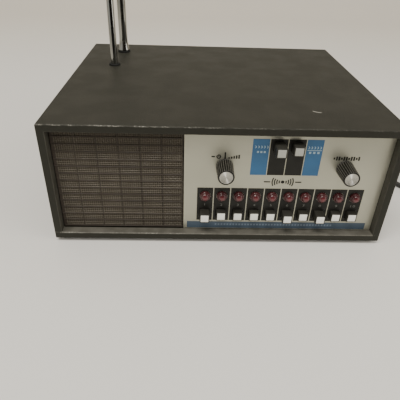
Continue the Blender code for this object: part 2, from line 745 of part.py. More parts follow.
def rear_fittings():
    inner = REAR_PANEL_INNER - GAP
    outer = REAR_PANEL_OUTER + GAP
    antenna = [(0, inner - 8 * MM), (7.2 * MM, inner - 8 * MM), (7.2 * MM, inner), (5.5 * MM, inner)]
    antenna += [(5.5 * MM, outer + 5 * MM), (4.3 * MM, outer + 5 * MM)]
    antenna += [(4.3 * MM, inner - 5 * MM), (0, inner - 5 * MM)]
    rear_fitting("antenna_jack", ANTENNA_JACK_X, JACK_Z, antenna, "chrome")
    speaker = [(0, inner - 10 * MM), (4.5 * MM, inner - 10 * MM), (4.5 * MM, inner), (3.0 * MM, inner)]
    speaker += [(3.0 * MM, outer), (4.2 * MM, outer), (4.2 * MM, outer + 2 * MM), (1.8 * MM, outer + 2 * MM)]
    speaker += [(1.8 * MM, inner - 8 * MM), (0, inner - 8 * MM)]
    rear_fitting("external_speaker_jack", SPEAKER_JACK_X, JACK_Z, speaker, "zinc_steel")
    bore = CORD_RADIUS + 0.2 * MM
    relief = [(bore, inner - 2 * MM), (5.6 * MM, inner - 2 * MM), (5.6 * MM, inner), (4.5 * MM, inner)]
    relief += [(4.5 * MM, outer), (6.5 * MM, outer), (6.5 * MM, outer + 1.8 * MM)]
    relief += [(4.8 * MM, outer + 2.4 * MM), (3.2 * MM, RELIEF_END), (bore, RELIEF_END)]
    rear_fitting("strain_relief", CORD_EXIT_X, CORD_EXIT_Z, relief, "rubber")


# --- mains cord ----------------------------------------------------------------------------------


def smooth_curve(points, spacing):
    """Points at an even spacing along a Catmull-Rom curve through the given points."""
    ends = [2 * points[0] - points[1], *points, 2 * points[-1] - points[-2]]
    fine = []
    for number in range(len(points) - 1):
        before, start, stop, after = ends[number : number + 4]
        for step in range(16):
            t = step / 16
            bend = 2 * start + (stop - before) * t
            bend += (2 * before - 5 * start + 4 * stop - after) * t**2
            bend += (3 * start - before - 3 * stop + after) * t**3
            fine.append(bend / 2)
    fine.append(points[-1])
    return resampled(fine, spacing)


def resampled(line, spacing):
    total = sum((b - a).length for a, b in zip(line, line[1:]))
    count = round(total / spacing)
    wanted = [total * number / count for number in range(count)]
    made = []
    travelled = 0.0
    for a, b in zip(line, line[1:]):
        stride = (b - a).length
        while wanted and wanted[0] <= travelled + stride:
            made.append(a.lerp(b, (wanted.pop(0) - travelled) / stride))
        travelled += stride
    return made + [line[-1]]


def cord_tube(name, route):
    points = smooth_curve([Vector(point) * MM for point in route], 2.5 * 2 * CORD_RADIUS)
    curve = bpy.data.curves.new(name, "CURVE")
    curve.dimensions = "3D"
    curve.bevel_depth = CORD_RADIUS
    curve.bevel_resolution = 2
    curve.render_resolution_u = 0
    curve.use_fill_caps = True
    spline = curve.splines.new("POLY")
    spline.points.add(len(points) - 1)
    for slot, point in zip(spline.points, points):
        slot.co = (*point, 1.0)
    curve.materials.append(look("cord_rubber"))
    made = bpy.data.objects.new(name, curve)
    bpy.context.scene.collection.objects.link(made)


def coil_turn_radius(column):
    """Middle line of a column of turns, counted from 0 at the inside."""
    return COIL_RADIUS + (column - (COIL_COLUMNS - 1) / 2) * 2 * CORD_RADIUS


def cord_coil():
    """The ring that holds the wound turns."""
    inner = coil_turn_radius(0) - CORD_RADIUS
    outer = coil_turn_radius(COIL_COLUMNS - 1) + CORD_RADIUS
    high = COIL_LAYERS * 2 * CORD_RADIUS
    round_off = CORD_RADIUS * 0.6
    outline = [(inner + round_off, 0), (outer - round_off, 0), (outer, round_off), (outer, high - round_off)]
    outline += [(outer - round_off, high), (inner + round_off, high)]
    outline += [(inner, high - round_off), (inner, round_off)]
    bm = bmesh.new()
    add_turned(bm, outline, "Z", (*COIL_CENTRE, 0), sides=32)
    part("cord_coil", bm, "cord_rubber", smooth=True)


def plug():
    """Two-blade mains plug lying on the table beside the coil, blades along +Y."""
    x = TAIL_ROUTE[-1][0] * MM
    boot_start = TAIL_ROUTE[-1][1] * MM + 3 * GAP
    axis_z = PLUG_AXIS_Z
    grip = bmesh.new()
    boot_end = boot_start + 20.5 * MM
    boot = [(0, boot_start), (3.2 * MM, boot_start), (4.4 * MM, boot_end), (0, boot_end)]
    add_turned(grip, boot, "Y", (x, 0, axis_z), sides=16)
    body = part("plug", grip, "cord_rubber")
    head = bmesh.new()
    head_start = boot_start + 20 * MM
    head_end = head_start + 22 * MM
    outline = [(x - 7 * MM, head_start, 0), (x + 7 * MM, head_start, 0), (x + 12 * MM, head_end, 0)]
    outline.append((x - 12 * MM, head_end, 0))
    add_prism(head, outline, (0, 0, 2 * axis_z))
    combine(body, "UNION", head)
    blades = bmesh.new()
    for side in (-1, 1):
        middle = x + side * 6.35 * MM
        low = (middle - 0.75 * MM, head_end - 3 * MM, axis_z - 3.15 * MM)
        add_block(blades, low, (middle + 0.75 * MM, head_end + 16 * MM, axis_z + 3.15 * MM))
    combine(body, "UNION", blades)


def main():
    clear_scene()
    cabinet()
    feet()
    front_panel()
    speaker_grille()
    lamp_lens_strip()
    buttons()
    switches()
    lamp_board()
    rotary_control("volume", VOLUME_X)
    rotary_control("squelch", SQUELCH_X)
    antennas()
    loudspeaker()
    chassis()
    main_board()
    crystal_row()
    power_transformer()
    rear_panel()
    rear_fittings()
    cord_tube("power_cord", CORD_ROUTE)
    cord_tube("power_cord_tail", TAIL_ROUTE)
    cord_coil()
    plug()


main()
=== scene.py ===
"""Looks of the ten-channel desktop scanner receiver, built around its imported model.

Metres, +Z up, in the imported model's frame: the front faces -Y and the table is at z = 0.
"""

import json
import math
import random

import bmesh
import bpy
from mathutils import Matrix, Vector


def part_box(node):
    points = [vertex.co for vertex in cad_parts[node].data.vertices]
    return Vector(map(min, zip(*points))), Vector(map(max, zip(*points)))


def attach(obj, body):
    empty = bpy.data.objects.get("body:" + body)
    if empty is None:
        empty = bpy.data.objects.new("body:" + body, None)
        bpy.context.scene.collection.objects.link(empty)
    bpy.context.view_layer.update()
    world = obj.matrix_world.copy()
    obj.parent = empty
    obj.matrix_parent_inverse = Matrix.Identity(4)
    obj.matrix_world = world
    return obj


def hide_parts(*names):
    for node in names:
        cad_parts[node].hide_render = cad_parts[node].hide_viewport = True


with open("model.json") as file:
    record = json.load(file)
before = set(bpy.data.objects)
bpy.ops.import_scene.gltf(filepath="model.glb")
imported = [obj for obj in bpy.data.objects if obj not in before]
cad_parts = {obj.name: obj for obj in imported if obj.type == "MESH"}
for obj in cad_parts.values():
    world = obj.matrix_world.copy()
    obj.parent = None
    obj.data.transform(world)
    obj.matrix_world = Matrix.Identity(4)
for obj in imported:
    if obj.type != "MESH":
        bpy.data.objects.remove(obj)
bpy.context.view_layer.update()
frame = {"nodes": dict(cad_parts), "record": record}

MM = 0.001
RECEIVER = "receiver"
CHANNELS = range(1, 11)
CHANNEL_BUTTONS = [f"channel_button_{channel}" for channel in CHANNELS]
BUTTONS = (*CHANNEL_BUTTONS, "channel_select_button", "scan_manual_button")

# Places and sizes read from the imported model
TOP_LOW, TOP_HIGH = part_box("cabinet_top")
PANEL_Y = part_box("front_panel")[0].y
CABINET_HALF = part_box("cabinet_right")[1].x
CABINET_FRONT = TOP_LOW.y
CABINET_REAR = TOP_HIGH.y
CABINET_TOP = TOP_HIGH.z
CABINET_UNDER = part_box("cabinet_bottom")[0].z
BOARD = TOP_HIGH.z - TOP_LOW.z


def middle(node):
    low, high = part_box(node)
    return (low + high) / 2


def middle_xz(node):
    """Where a node's middle is, seen from the front."""
    return middle(node).x, middle(node).z


def upright(node):
    """Where a node's upright axis meets the table."""
    return middle(node).x, middle(node).y, 0


def half_width(node):
    """Half of a node's size along X, which is the radius of a round one."""
    low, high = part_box(node)
    return (high.x - low.x) / 2


PITCH = (middle("channel_button_10").x - middle("channel_button_1").x) / (len(CHANNELS) - 1)
ROW_X = (middle("channel_button_10").x + middle("channel_button_1").x) / 2
LAMP_Z = middle("lamp_lens_strip").z


# --- camera --------------------------------------------------------------------------------------

CAMERA_PLACE = (-27.0 * MM, -372.8 * MM, 211.3 * MM)
CAMERA_DOWN = 33.18  # degrees, as the two below
CAMERA_RIGHT = 2.40
CAMERA_ROLL = 2.09
CAMERA_LENS = 38.13  # millimetres, on a sensor 36 mm wide


def set_camera():
    """A phone's view from above the front edge of the table, a little to the left of the middle."""
    data = bpy.data.cameras.new("camera")
    data.lens = CAMERA_LENS
    data.sensor_width = 36.0
    camera = link("camera", data)
    aim = Matrix.Rotation(math.radians(-CAMERA_RIGHT), 4, "Z")
    aim = aim @ Matrix.Rotation(math.radians(90 - CAMERA_DOWN), 4, "X")
    aim = aim @ Matrix.Rotation(math.radians(CAMERA_ROLL), 4, "Z")
    camera.matrix_world = Matrix.Translation(CAMERA_PLACE) @ aim
    bpy.context.scene.camera = camera


# --- mesh helpers --------------------------------------------------------------------------------


LARGE_FLAT = 500 * MM**2  # faces larger than this are flat boards, and are shaded flat


def link(name, data):
    """A new object of the scene that shows this data."""
    made = bpy.data.objects.new(name, data)
    bpy.context.scene.collection.objects.link(made)
    return made


def mesh_from(name, bm):
    """Turn a bmesh into a mesh, and free it."""
    mesh = bpy.data.meshes.new(name)
    bm.to_mesh(mesh)
    bm.free()
    return mesh


def worked_out(thing):
    """The mesh of an object, with its modifiers applied or its text turned into faces."""
    bpy.context.view_layer.update()
    return bpy.data.meshes.new_from_object(thing.evaluated_get(bpy.context.evaluated_depsgraph_get()))


def new_piece(name, bm, material, body=RECEIVER, slot=None, smooth=35, stands_for=()):
    """Turn a bmesh into a visible piece that rides on a body and may stand for CAD nodes."""
    bmesh.ops.recalc_face_normals(bm, faces=bm.faces)
    return dress(link(name, mesh_from(name, bm)), material, body, smooth, stands_for)


def dress(piece, material, body=RECEIVER, smooth=35, stands_for=()):
    """Give a piece its material, shading and body; smooth is the angle of a sharp edge."""
    piece.data.materials.clear()
    piece.data.materials.append(material)
    if smooth:
        piece.data.shade_smooth()
        piece.data.set_sharp_from_angle(angle=math.radians(smooth))
        for face in piece.data.polygons:
            face.use_smooth = face.area < LARGE_FLAT
    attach(piece, body)
    if stands_for:
        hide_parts(*stands_for)
    return piece


def add_block(bm, low, high):
    cube = bmesh.ops.create_cube(bm, size=1.0)["verts"]
    bmesh.ops.scale(bm, vec=Vector(high) - Vector(low), verts=cube)
    bmesh.ops.translate(bm, vec=(Vector(high) + Vector(low)) / 2, verts=cube)
    return cube


def add_soft_block(bm, low, high, radius, segments=2):
    """A box between two corners with rounded edges."""
    cube = add_block(bm, low, high)
    edges = list({edge for vert in cube for edge in vert.link_edges})
    bmesh.ops.bevel(bm, geom=edges, offset=radius, segments=segments, profile=0.5, affect="EDGES")


def add_prism(bm, outline, direction):
    corners = [bm.verts.new(point) for point in outline]
    face = bm.faces.new(corners)
    pushed = bmesh.ops.extrude_face_region(bm, geom=[face])["geom"]
    moved = [item for item in pushed if isinstance(item, bmesh.types.BMVert)]
    bmesh.ops.translate(bm, vec=direction, verts=moved)


def bridge(bm, loops, closed=False):
    """Skin a row of equal loops with four-sided faces; closed joins the last loop to the first."""
    pairs = zip(loops, loops[1:] + loops[:1]) if closed else zip(loops, loops[1:])
    for first, second in pairs:
        for step in range(len(first)):
            after = (step + 1) % len(first)
            bm.faces.new((first[step], first[after], second[after], second[step]))


def add_turned(bm, outline, axis, centre, sides=48, wave=None):
    """A body turned about Y or Z from a closed outline of (radius, distance along the axis).

    wave(number, angle) gives the share of its radius that an outline point keeps at an angle.
    """
    turn = Matrix.Rotation(-math.pi / 2, 4, "X") if axis == "Y" else Matrix.Identity(4)
    place = Matrix.Translation(centre) @ turn
    rings = []
    for number, (radius, along) in enumerate(outline):
        if radius == 0:
            rings.append([bm.verts.new(place @ Vector((0, 0, along)))])
            continue
        ring = []
        for step in range(sides):
            angle = 2 * math.pi * step / sides
            out = radius * (wave(number, angle) if wave else 1)
            ring.append(bm.verts.new(place @ Vector((out * math.cos(angle), out * math.sin(angle), along))))
        rings.append(ring)
    for first, second in zip(rings, rings[1:] + rings[:1]):
        if len(first) == 1 and len(second) == 1:
            continue
        for step in range(sides):
            after = (step + 1) % sides
            corners = [first[step % len(first)], first[after % len(first)]]
            corners += [second[after % len(second)], second[step % len(second)]]
            bm.faces.new(list(dict.fromkeys(corners)))


def round_over(start, stop, centre, steps=4):
    """Outline points on a quarter round from start to stop about a centre, ends included."""
    a, b, c = Vector(start), Vector(stop), Vector(centre)
    return [
        tuple(c + (a - c) * math.cos(turn) + (b - c) * math.sin(turn))
        for turn in (math.pi / 2 * step / steps for step in range(steps + 1))
    ]


def band(inner, outer, start, stop):
    """Outline of a plain ring between two places on its axis, or of a disc if inner is 0."""
    return [(inner, start), (outer, start), (outer, stop), (inner, stop)]


def turned_piece(name, outline, axis, centre, material, sides=48, wave=None, **dressing):
    """A piece turned from one outline, as add_turned takes it."""
    bm = bmesh.new()
    add_turned(bm, outline, axis, centre, sides, wave)
    return new_piece(name, bm, material, **dressing)


def cut(piece, tool_bm):
    """Cut a hidden tool body out of a piece, for good."""
    bmesh.ops.recalc_face_normals(tool_bm, faces=tool_bm.faces)
    tool = link("cutter", mesh_from("cutter", tool_bm))
    modifier = piece.modifiers.new("Cut", "BOOLEAN")
    modifier.operation = "DIFFERENCE"
    modifier.object = tool
    shape = worked_out(piece)
    piece.modifiers.clear()
    piece.data = shape
    bpy.data.objects.remove(tool, do_unlink=True)


# --- material helpers ----------------------------------------------------------------------------


class Look:
    """One Principled material, with short calls for the procedural nodes that it is built from."""

    def __init__(self, name, colour, roughness, metallic=0.0, **sockets):
        self.material = bpy.data.materials.new(name)
        self.material.use_nodes = True
        self.tree = self.material.node_tree
        self.shader = self.tree.nodes["Principled BSDF"]
        self.shader.inputs["Base Color"].default_value = (*colour, 1.0)
        self.shader.inputs["Roughness"].default_value = roughness
        self.shader.inputs["Metallic"].default_value = metallic
        for socket, value in sockets.items():
            self.shader.inputs[socket.replace("_", " ")].default_value = value
        self.place = self.tree.nodes.new("ShaderNodeTexCoord").outputs["Object"]

    def node(self, kind, inputs=(), **settings):
        made = self.tree.nodes.new(kind)
        for name, value in settings.items():
            setattr(made, name, value)
        for key, value in dict(inputs).items():
            self.feed(made.inputs[key], value)
        return made

    def feed(self, socket, value):
        if isinstance(value, bpy.types.NodeSocket):
            self.tree.links.new(value, socket)
        else:
            socket.default_value = value

    def scaled(self, stretch):
        return self.node("ShaderNodeMapping", {"Vector": self.place, "Scale": stretch}).outputs["Vector"]

    def noise(self, size, detail=4.0, rough=0.55, stretch=(1, 1, 1)):
        """Soft noise from 0 to 1, whose blobs are about this size in metres."""
        fields = {"Vector": self.scaled(stretch), "Scale": 1 / size, "Detail": detail, "Roughness": rough}
        return self.node("ShaderNodeTexNoise", fields).outputs["Fac"]

    def cells(self, size, feature="F1", stretch=(1, 1, 1)):
        fields = {"Vector": self.scaled(stretch), "Scale": 1 / size}
        return self.node("ShaderNodeTexVoronoi", fields, feature=feature).outputs["Distance"]

    def axis(self, name):
        return self.node("ShaderNodeSeparateXYZ", {"Vector": self.place}).outputs[name]

    def ease(self, value, low, high, start=0.0, stop=1.0):
        """value from low to high becomes start to stop, smoothly, and stays there outside."""
        fields = {"Value": value, "From Min": low, "From Max": high, "To Min": start, "To Max": stop}
        return self.node("ShaderNodeMapRange", fields, interpolation_type="SMOOTHSTEP").outputs["Result"]

    def calc(self, operation, first, second=0.0):
        made = self.node("ShaderNodeMath", {0: first, 1: second}, operation=operation)
        return made.outputs["Value"]

    def product(self, first, *others):
        for other in others:
            first = self.calc("MULTIPLY", first, other)
        return first

    def offset(self, name, place):
        """How far a point lies past a place on the named axis."""
        return self.calc("SUBTRACT", self.axis(name), place)

    def reach(self, *offsets):
        """Distance that two offsets at right angles make up."""
        return self.calc("SQRT", self.calc("ADD", *(self.product(off, off) for off in offsets)))

    def ripple(self, value, pitch):
        """Sine of a length, with one crest in each pitch."""
        return self.calc("SINE", self.product(value, 2 * math.pi / pitch))

    def mix(self, share, first, second):
        made = self.node("ShaderNodeMix", data_type="RGBA")
        for socket, value in zip((made.inputs[0], made.inputs[6], made.inputs[7]), (share, first, second)):
            self.feed(socket, (*value, 1.0) if isinstance(value, tuple) else value)
        return made.outputs[2]

    def colour(self, value):
        self.feed(self.shader.inputs["Base Color"], value)

    def roughness(self, value):
        self.feed(self.shader.inputs["Roughness"], value)

    def uneven_gloss(self, size, detail, low, high):
        """Roughness that wanders from low to high in blobs about this size."""
        self.roughness(self.ease(self.noise(size, detail), 0.3, 0.7, low, high))

    def bump(self, height, depth, strength=1.0):
        """Raise the surface by a height from 0 to 1 times a depth in metres, on top of earlier bumps."""
        made = self.node("ShaderNodeBump", {"Height": height, "Distance": depth, "Strength": strength})
        normal = self.shader.inputs["Normal"]
        if normal.is_linked:
            self.tree.links.new(normal.links[0].from_socket, made.inputs["Normal"])
        self.tree.links.new(made.outputs["Normal"], normal)


def vinyl_look():
    """Dark vinyl skin: leather grain, dust and worn patches, a paler film in the recess that is partly dust
    and partly painted light, a scuff and worn front edges.
    """
    look = Look("vinyl_skin", (0.02, 0.0185, 0.014), 0.55, Specular_IOR_Level=0.3)
    grain = look.cells(0.9 * MM, "SMOOTH_F1")
    patches = look.noise(60 * MM, 3)
    dust = look.ease(look.noise(14 * MM, 6, 0.65), 0.5, 0.75)
    dust = look.product(dust, look.ease(look.axis("Y"), 0, CABINET_REAR, 0.04, 0.22))
    tone = look.mix(patches, (0.0145, 0.0140, 0.0085), (0.019, 0.0183, 0.0118))
    tone = look.mix(dust, tone, (0.07, 0.066, 0.052))
    # paler film in the recess: partly dust, partly painted light that brightens the shaded recess faces
    tone = look.mix(recess_mask(look), tone, (0.115, 0.108, 0.088))
    specks = look.ease(look.noise(0.7 * MM, 3, 0.75, (0.6, 1, 1)), 0.5, 0.62, 0.1, 1.0)
    stretches = look.ease(look.noise(9 * MM, 3, 0.6), 0.4, 0.62, 0.25, 1.0)
    fading = look.ease(look.axis("X"), -60 * MM, 10 * MM, 1.0, 0.25)
    worn = look.product(edge_mask(look), specks, stretches, fading)
    worn = look.calc("MAXIMUM", worn, look.product(scuff_mask(look), 0.9))
    look.colour(look.mix(worn, tone, (0.36, 0.345, 0.3)))
    look.uneven_gloss(25 * MM, 5, 0.54, 0.62)
    look.bump(grain, 0.12 * MM, 0.6)
    look.bump(look.noise(0.35 * MM, 3), 0.05 * MM, 0.5)
    return look.material


def recess_mask(look):
    """Dust and painted light in front of the panel: thick on the lower board, thin on the other three."""
    inner_low, inner_high = CABINET_UNDER + BOARD, CABINET_TOP - BOARD
    aside = look.calc("ABSOLUTE", look.axis("X"))
    limits = [
        look.ease(look.axis("Y"), PANEL_Y - 0.2 * MM, PANEL_Y, 1.0, 0.0),
        look.ease(aside, CABINET_HALF - BOARD + 0.1 * MM, CABINET_HALF - BOARD + 0.5 * MM, 1.0, 0.0),
        look.ease(look.axis("Z"), inner_low - 1 * MM, inner_low - 0.1 * MM),
        look.ease(look.axis("Z"), inner_high + 0.1 * MM, inner_high + 0.5 * MM, 1.0, 0.0),
        look.ease(look.axis("Z"), inner_low + 0.05 * MM, inner_low + 0.4 * MM, 1.0, 0.45),
    ]
    film = look.ease(look.noise(7 * MM, 4, 0.5), 0.3, 0.7, 0.65, 1.0)
    return look.product(film, *limits)


SCUFF_X = 69 * MM
SCUFF_Y = CABINET_FRONT + 32 * MM


def scuff_mask(look):
    """1 on a short slanting scuff in the top near its front edge, 0 elsewhere."""
    off_x = look.offset("X", SCUFF_X)
    off_y = look.offset("Y", SCUFF_Y)
    along = look.calc("ADD", look.product(off_x, 0.9), look.product(off_y, -0.45))
    across = look.calc("ADD", look.product(off_x, 0.45), look.product(off_y, 0.9))
    off_line = look.calc("ABSOLUTE", look.calc("SUBTRACT", across, look.product(along, along, 60)))
    near_line = look.ease(off_line, 0.2 * MM, 0.8 * MM, 1, 0)
    inside = look.ease(look.calc("ABSOLUTE", along), 2.5 * MM, 4 * MM, 1, 0)
    on_top = look.ease(look.axis("Z"), CABINET_TOP - 1 * MM, CABINET_TOP - 0.3 * MM)
    return look.product(near_line, inside, on_top)


def edge_mask(look):
    """1 on the upper front edge and on the lower board's inner front edge, 0 elsewhere."""
    masks = []
    for edge_z in (CABINET_TOP - 0.15 * MM, CABINET_UNDER + BOARD - 0.15 * MM):
        reach = look.reach(look.offset("Z", edge_z), look.offset("Y", CABINET_FRONT + 0.15 * MM))
        masks.append(look.ease(reach, 0.35 * MM, 0.75 * MM, 1.0, 0.0))
    return look.calc("MAXIMUM", *masks)


def simple_look(
    name, colour, roughness, metallic=0.0, grain=0.5 * MM, depth=0.02 * MM, shade=0.25, **sockets
):
    """A moulded, painted or plated surface: fine grain, uneven tone and uneven gloss."""
    look = Look(name, colour, roughness, metallic, **sockets)
    dark = tuple(channel * (1 - shade) for channel in colour)
    light = tuple(min(1.0, channel * (1 + shade)) for channel in colour)
    look.colour(look.mix(look.noise(22 * MM, 5), dark, light))
    look.uneven_gloss(7 * MM, 5, roughness * 0.8, min(1.0, roughness * 1.2))
    look.bump(look.noise(grain, 3), depth, 0.5)
    return look.material


def ink_look(name, colour, roughness, **sockets):
    """Print, which is finer in its grain than a moulded surface."""
    return simple_look(name, colour, roughness, grain=0.3 * MM, depth=0.008 * MM, **sockets)


def tile_look(name, colour, roughness):
    """Polished plastic of one even colour."""
    return simple_look(name, colour, roughness, depth=0.01 * MM, shade=0.05)


def brushed_look(name, colour, roughness, metallic, stretch=(0.02, 1, 1)):
    """Metal with fine scratches drawn out along one axis."""
    look = Look(name, colour, roughness, metallic)
    lines = look.noise(0.25 * MM, 4, 0.6, stretch)
    smudges = look.noise(30 * MM, 4)
    dark = tuple(channel * 0.88 for channel in colour)
    look.colour(look.mix(smudges, dark, colour))
    mottled = look.ease(smudges, 0.3, 0.7, roughness * 0.85, roughness * 1.2)
    look.roughness(look.calc("ADD", mottled, look.ease(lines, 0.3, 0.7, -0.05, 0.05)))
    look.bump(lines, 0.01 * MM, 0.4)
    return look.material


def grip_look(name, centre_x, centre_z):
    """Black knob moulding, with a painted highlight that makes the crests of its flutes paler."""
    look = Look(f"{name}_grip_plastic", (0.02, 0.018, 0.014), 0.4, Specular_IOR_Level=0.35)
    off_x = look.offset("X", centre_x)
    off_z = look.offset("Z", centre_z)
    turns = look.product(look.calc("ARCTAN2", off_z, off_x), KNOB_FLUTES)
    crest = look.ease(look.calc("COSINE", turns), 0.55, 0.95)
    outside_disc = look.ease(look.reach(off_x, off_z), CREST_SHEEN_FROM, CREST_SHEEN_FROM + 0.3 * MM)
    patches = look.ease(look.noise(2 * MM, 4), 0.3, 0.6, 0.4, 1.0)
    # painted highlight: the flute crests are paler, in patches, outside the disc
    crest_sheen = look.product(crest, outside_disc, patches)
    look.colour(look.mix(crest_sheen, (0.006, 0.0055, 0.004), (0.17, 0.16, 0.13)))
    look.uneven_gloss(3 * MM, 4, 0.36, 0.5)
    look.bump(look.noise(0.3 * MM, 3), 0.01 * MM, 0.5)
    return look.material


def spun_look(name, centre_x, centre_z):
    """Disc turned on a lathe: fine rings, streaks of brighter and darker metal from its middle that are
    partly its sunburst finish and partly painted sheen, and a painted highlight across it at one angle.
    """
    look = Look(f"{name}_spun_aluminium", (0.55, 0.54, 0.5), 0.3, 1.0, Anisotropic=0.75)
    off_x = look.offset("X", centre_x)
    off_z = look.offset("Z", centre_z)
    look.bump(look.ripple(look.reach(off_x, off_z), 0.22 * MM), 0.006 * MM, 0.5)
    angle = look.calc("ARCTAN2", off_z, off_x)
    # streaks from the middle: partly the sunburst finish, partly painted sheen
    fields = {"W": look.product(angle, 3.2), "Detail": 3.0}
    sunburst_and_sheen_rays = look.node("ShaderNodeTexNoise", fields, noise_dimensions="1D")
    sunburst_and_sheen_rays = look.ease(sunburst_and_sheen_rays.outputs["Fac"], 0.35, 0.68)
    # painted highlight: a bright streak across the disc at one fixed angle
    glint = look.calc("ABSOLUTE", look.calc("COSINE", look.calc("ADD", angle, 1.25)))
    glint = look.calc("POWER", glint, 24.0)
    tone = look.mix(sunburst_and_sheen_rays, (0.36, 0.35, 0.31), (0.56, 0.55, 0.51))
    look.colour(look.mix(glint, tone, (0.92, 0.91, 0.88)))
    look.uneven_gloss(1.2 * MM, 3, 0.26, 0.36)
    tangent = look.node("ShaderNodeTangent", direction_type="RADIAL", axis="Y")
    look.feed(look.shader.inputs["Tangent"], tangent.outputs["Tangent"])
    return look.material


def lens_look():
    """Red plastic, deep in colour at the rim and brighter towards the middle of each lens, where painted
    light stands for light that shines through it.
    """
    look = Look("red_lens", (0.1, 0.01, 0.012), 0.3, Coat_Weight=0.45, Coat_Roughness=0.08)
    steps = look.calc("DIVIDE", look.offset("X", channel_x(1) - PITCH / 2), PITCH)
    off_x = look.product(look.calc("SUBTRACT", look.calc("FRACT", steps), 0.5), PITCH)
    reach = look.reach(off_x, look.offset("Z", LAMP_Z))
    # painted light: the middle of each lens is brighter, as light through the plastic would make it
    core = look.ease(reach, 0.3 * MM, 3.3 * MM, 1.0, 0.0)
    rings = look.ease(look.ripple(reach, 0.9 * MM), -1, 1)
    tone = look.mix(core, (0.05, 0.012, 0.013), (0.125, 0.016, 0.02))
    look.colour(look.mix(look.product(rings, 0.15), tone, (0.09, 0.012, 0.015)))
    look.uneven_gloss(1.5 * MM, 3, 0.22, 0.38)
    look.bump(rings, 0.02 * MM, 0.3)
    return look.material


def cloth_look():
    """Brown speaker cloth: a fine woven check of raised threads."""
    look = Look("speaker_cloth", (0.05, 0.034, 0.022), 0.8)
    threads = [look.ripple(look.axis(name), 0.85 * MM) for name in ("X", "Z")]
    check = look.ease(look.product(*threads), -1.0, 1.0)
    look.colour(look.mix(check, (0.05, 0.04, 0.029), (0.11, 0.09, 0.064)))
    look.bump(check, 0.1 * MM, 0.7)
    return look.material


def make_looks():
    """Every material that pieces and CAD nodes wear, but for the knobs' own."""
    return {
        "vinyl": vinyl_look(),
        "aluminium": brushed_look("satin_panel", (0.49, 0.48, 0.39), 0.38, 0.75),
        "black_ink": ink_look("black_print", (0.012, 0.0115, 0.009), 0.45, Specular_IOR_Level=0.3),
        "blue_ink": ink_look("blue_print", (0.02, 0.1, 0.215), 0.4),
        # the bars' blue ink, darkened with painted shade for the stripe beside the dark sill
        "shaded_blue_ink": ink_look("shaded_blue_print", (0.05, 0.075, 0.105), 0.42),
        "white_ink": ink_look("white_print", (0.3, 0.4, 0.46), 0.5),
        "grey_ink": ink_look("grey_print", (0.14, 0.14, 0.125), 0.5),
        "faint_ink": ink_look("faint_print", (0.13, 0.17, 0.22), 0.45),
        "tie": simple_look("tie_strap", (0.05, 0.05, 0.05), 0.7, depth=0.05 * MM),
        "grille": simple_look("grille_plastic", (0.04, 0.031, 0.023), 0.6, Specular_IOR_Level=0.3),
        "wire": simple_look("bronze_wire", (0.105, 0.09, 0.064), 0.6, 0.2, grain=0.2 * MM),
        "cloth": cloth_look(),
        "lens": lens_look(),
        "white": tile_look("white_plastic", (0.82, 0.81, 0.74), 0.32),
        # a copy of the white plastic, darkened with painted shade for the upper two tiles under the top board
        "shaded_white": tile_look("shaded_white_plastic", (0.34, 0.337, 0.3), 0.34),
        "black": simple_look("black_plastic", (0.027, 0.0255, 0.0205), 0.5, Specular_IOR_Level=0.3),
        "chrome": simple_look("chrome", (0.3, 0.295, 0.268), 0.12, 1.0, 2 * MM, 0.004 * MM, 0.1),
        "zinc": brushed_look("zinc_steel", (0.5, 0.5, 0.47), 0.42, 0.9, (1, 0.03, 1)),
        "rubber": simple_look("rubber", (0.01, 0.01, 0.009), 0.75, depth=0.04 * MM, Specular_IOR_Level=0.2),
        "board": simple_look("phenolic_board", (0.13, 0.085, 0.035), 0.55),
        "paper": simple_look("paper_cone", (0.045, 0.042, 0.036), 0.9, depth=0.08 * MM),
        "iron": simple_look("varnished_iron", (0.06, 0.055, 0.05), 0.6, 0.3, depth=0.06 * MM),
        "insulator": simple_look("grey_moulding", (0.2, 0.2, 0.19), 0.65),
        "rear": simple_look("crackle_paint", (0.025, 0.025, 0.024), 0.6, grain=0.8 * MM, depth=0.12 * MM),
        "cord": simple_look("cord_jacket", (0.03, 0.029, 0.026), 0.55, depth=0.03 * MM),
        "brass": brushed_look("plug_blade", (0.7, 0.6, 0.38), 0.3, 1.0, (1, 0.03, 1)),
    }


CARRIED = {
    "vinyl_board": "vinyl",
    "rubber": "rubber",
    "satin_aluminium": "aluminium",
    "black_plastic": "rear",
    "bronze_screen": "cloth",
    "red_lens": "lens",
    "white_button": "white",
    "chrome": "chrome",
    "zinc_steel": "zinc",
    "circuit_board": "board",
    "paper_cone": "paper",
    "iron_core": "iron",
    "insulator": "insulator",
    "cord_rubber": "cord",
}  # record material slot: look of the CAD nodes that carry it


def dress_nodes(looks):
    """Give every CAD node the look of its slot in the record."""
    for entry in frame["record"]["subparts"]:
        node = frame["nodes"][entry["node"]]
        node.data.materials.clear()
        node.data.materials.append(looks[CARRIED[entry["material_slot"]]])


# --- cabinet -------------------------------------------------------------------------------------

CORNER = 0.8 * MM  # rounding of the sleeve's long outer edges
RIM = 0.5 * MM  # rounding of the boards' front and rear edges


def rounded_frame(inset, radius, steps=6):
    """Loop of (x, z) this far inside the sleeve's outer faces, with rounded corners."""
    half = CABINET_HALF - inset
    low = CABINET_UNDER + inset
    high = CABINET_TOP - inset
    loop = []
    for turn, (x, z) in enumerate(((half, high), (-half, high), (-half, low), (half, low))):
        centre_x = x - math.copysign(radius, x)
        centre_z = z - radius if z == high else z + radius
        for step in range(steps + 1):
            angle = math.radians(90 * (turn + step / steps))
            loop.append((centre_x + radius * math.cos(angle), centre_z + radius * math.sin(angle)))
    return loop


def sleeve_profile():
    """Closed outline of (y, inset) of the boards, with rounded front and rear rims."""
    outline = []
    for y, turn in ((CABINET_FRONT, 1), (CABINET_REAR, -1)):
        edge = round_over((y + turn * RIM, 0), (y, RIM), (y + turn * RIM, RIM))
        edge += round_over((y, BOARD - RIM), (y + turn * RIM, BOARD), (y + turn * RIM, BOARD - RIM))
        outline += edge if turn > 0 else reversed(edge)
    return outline


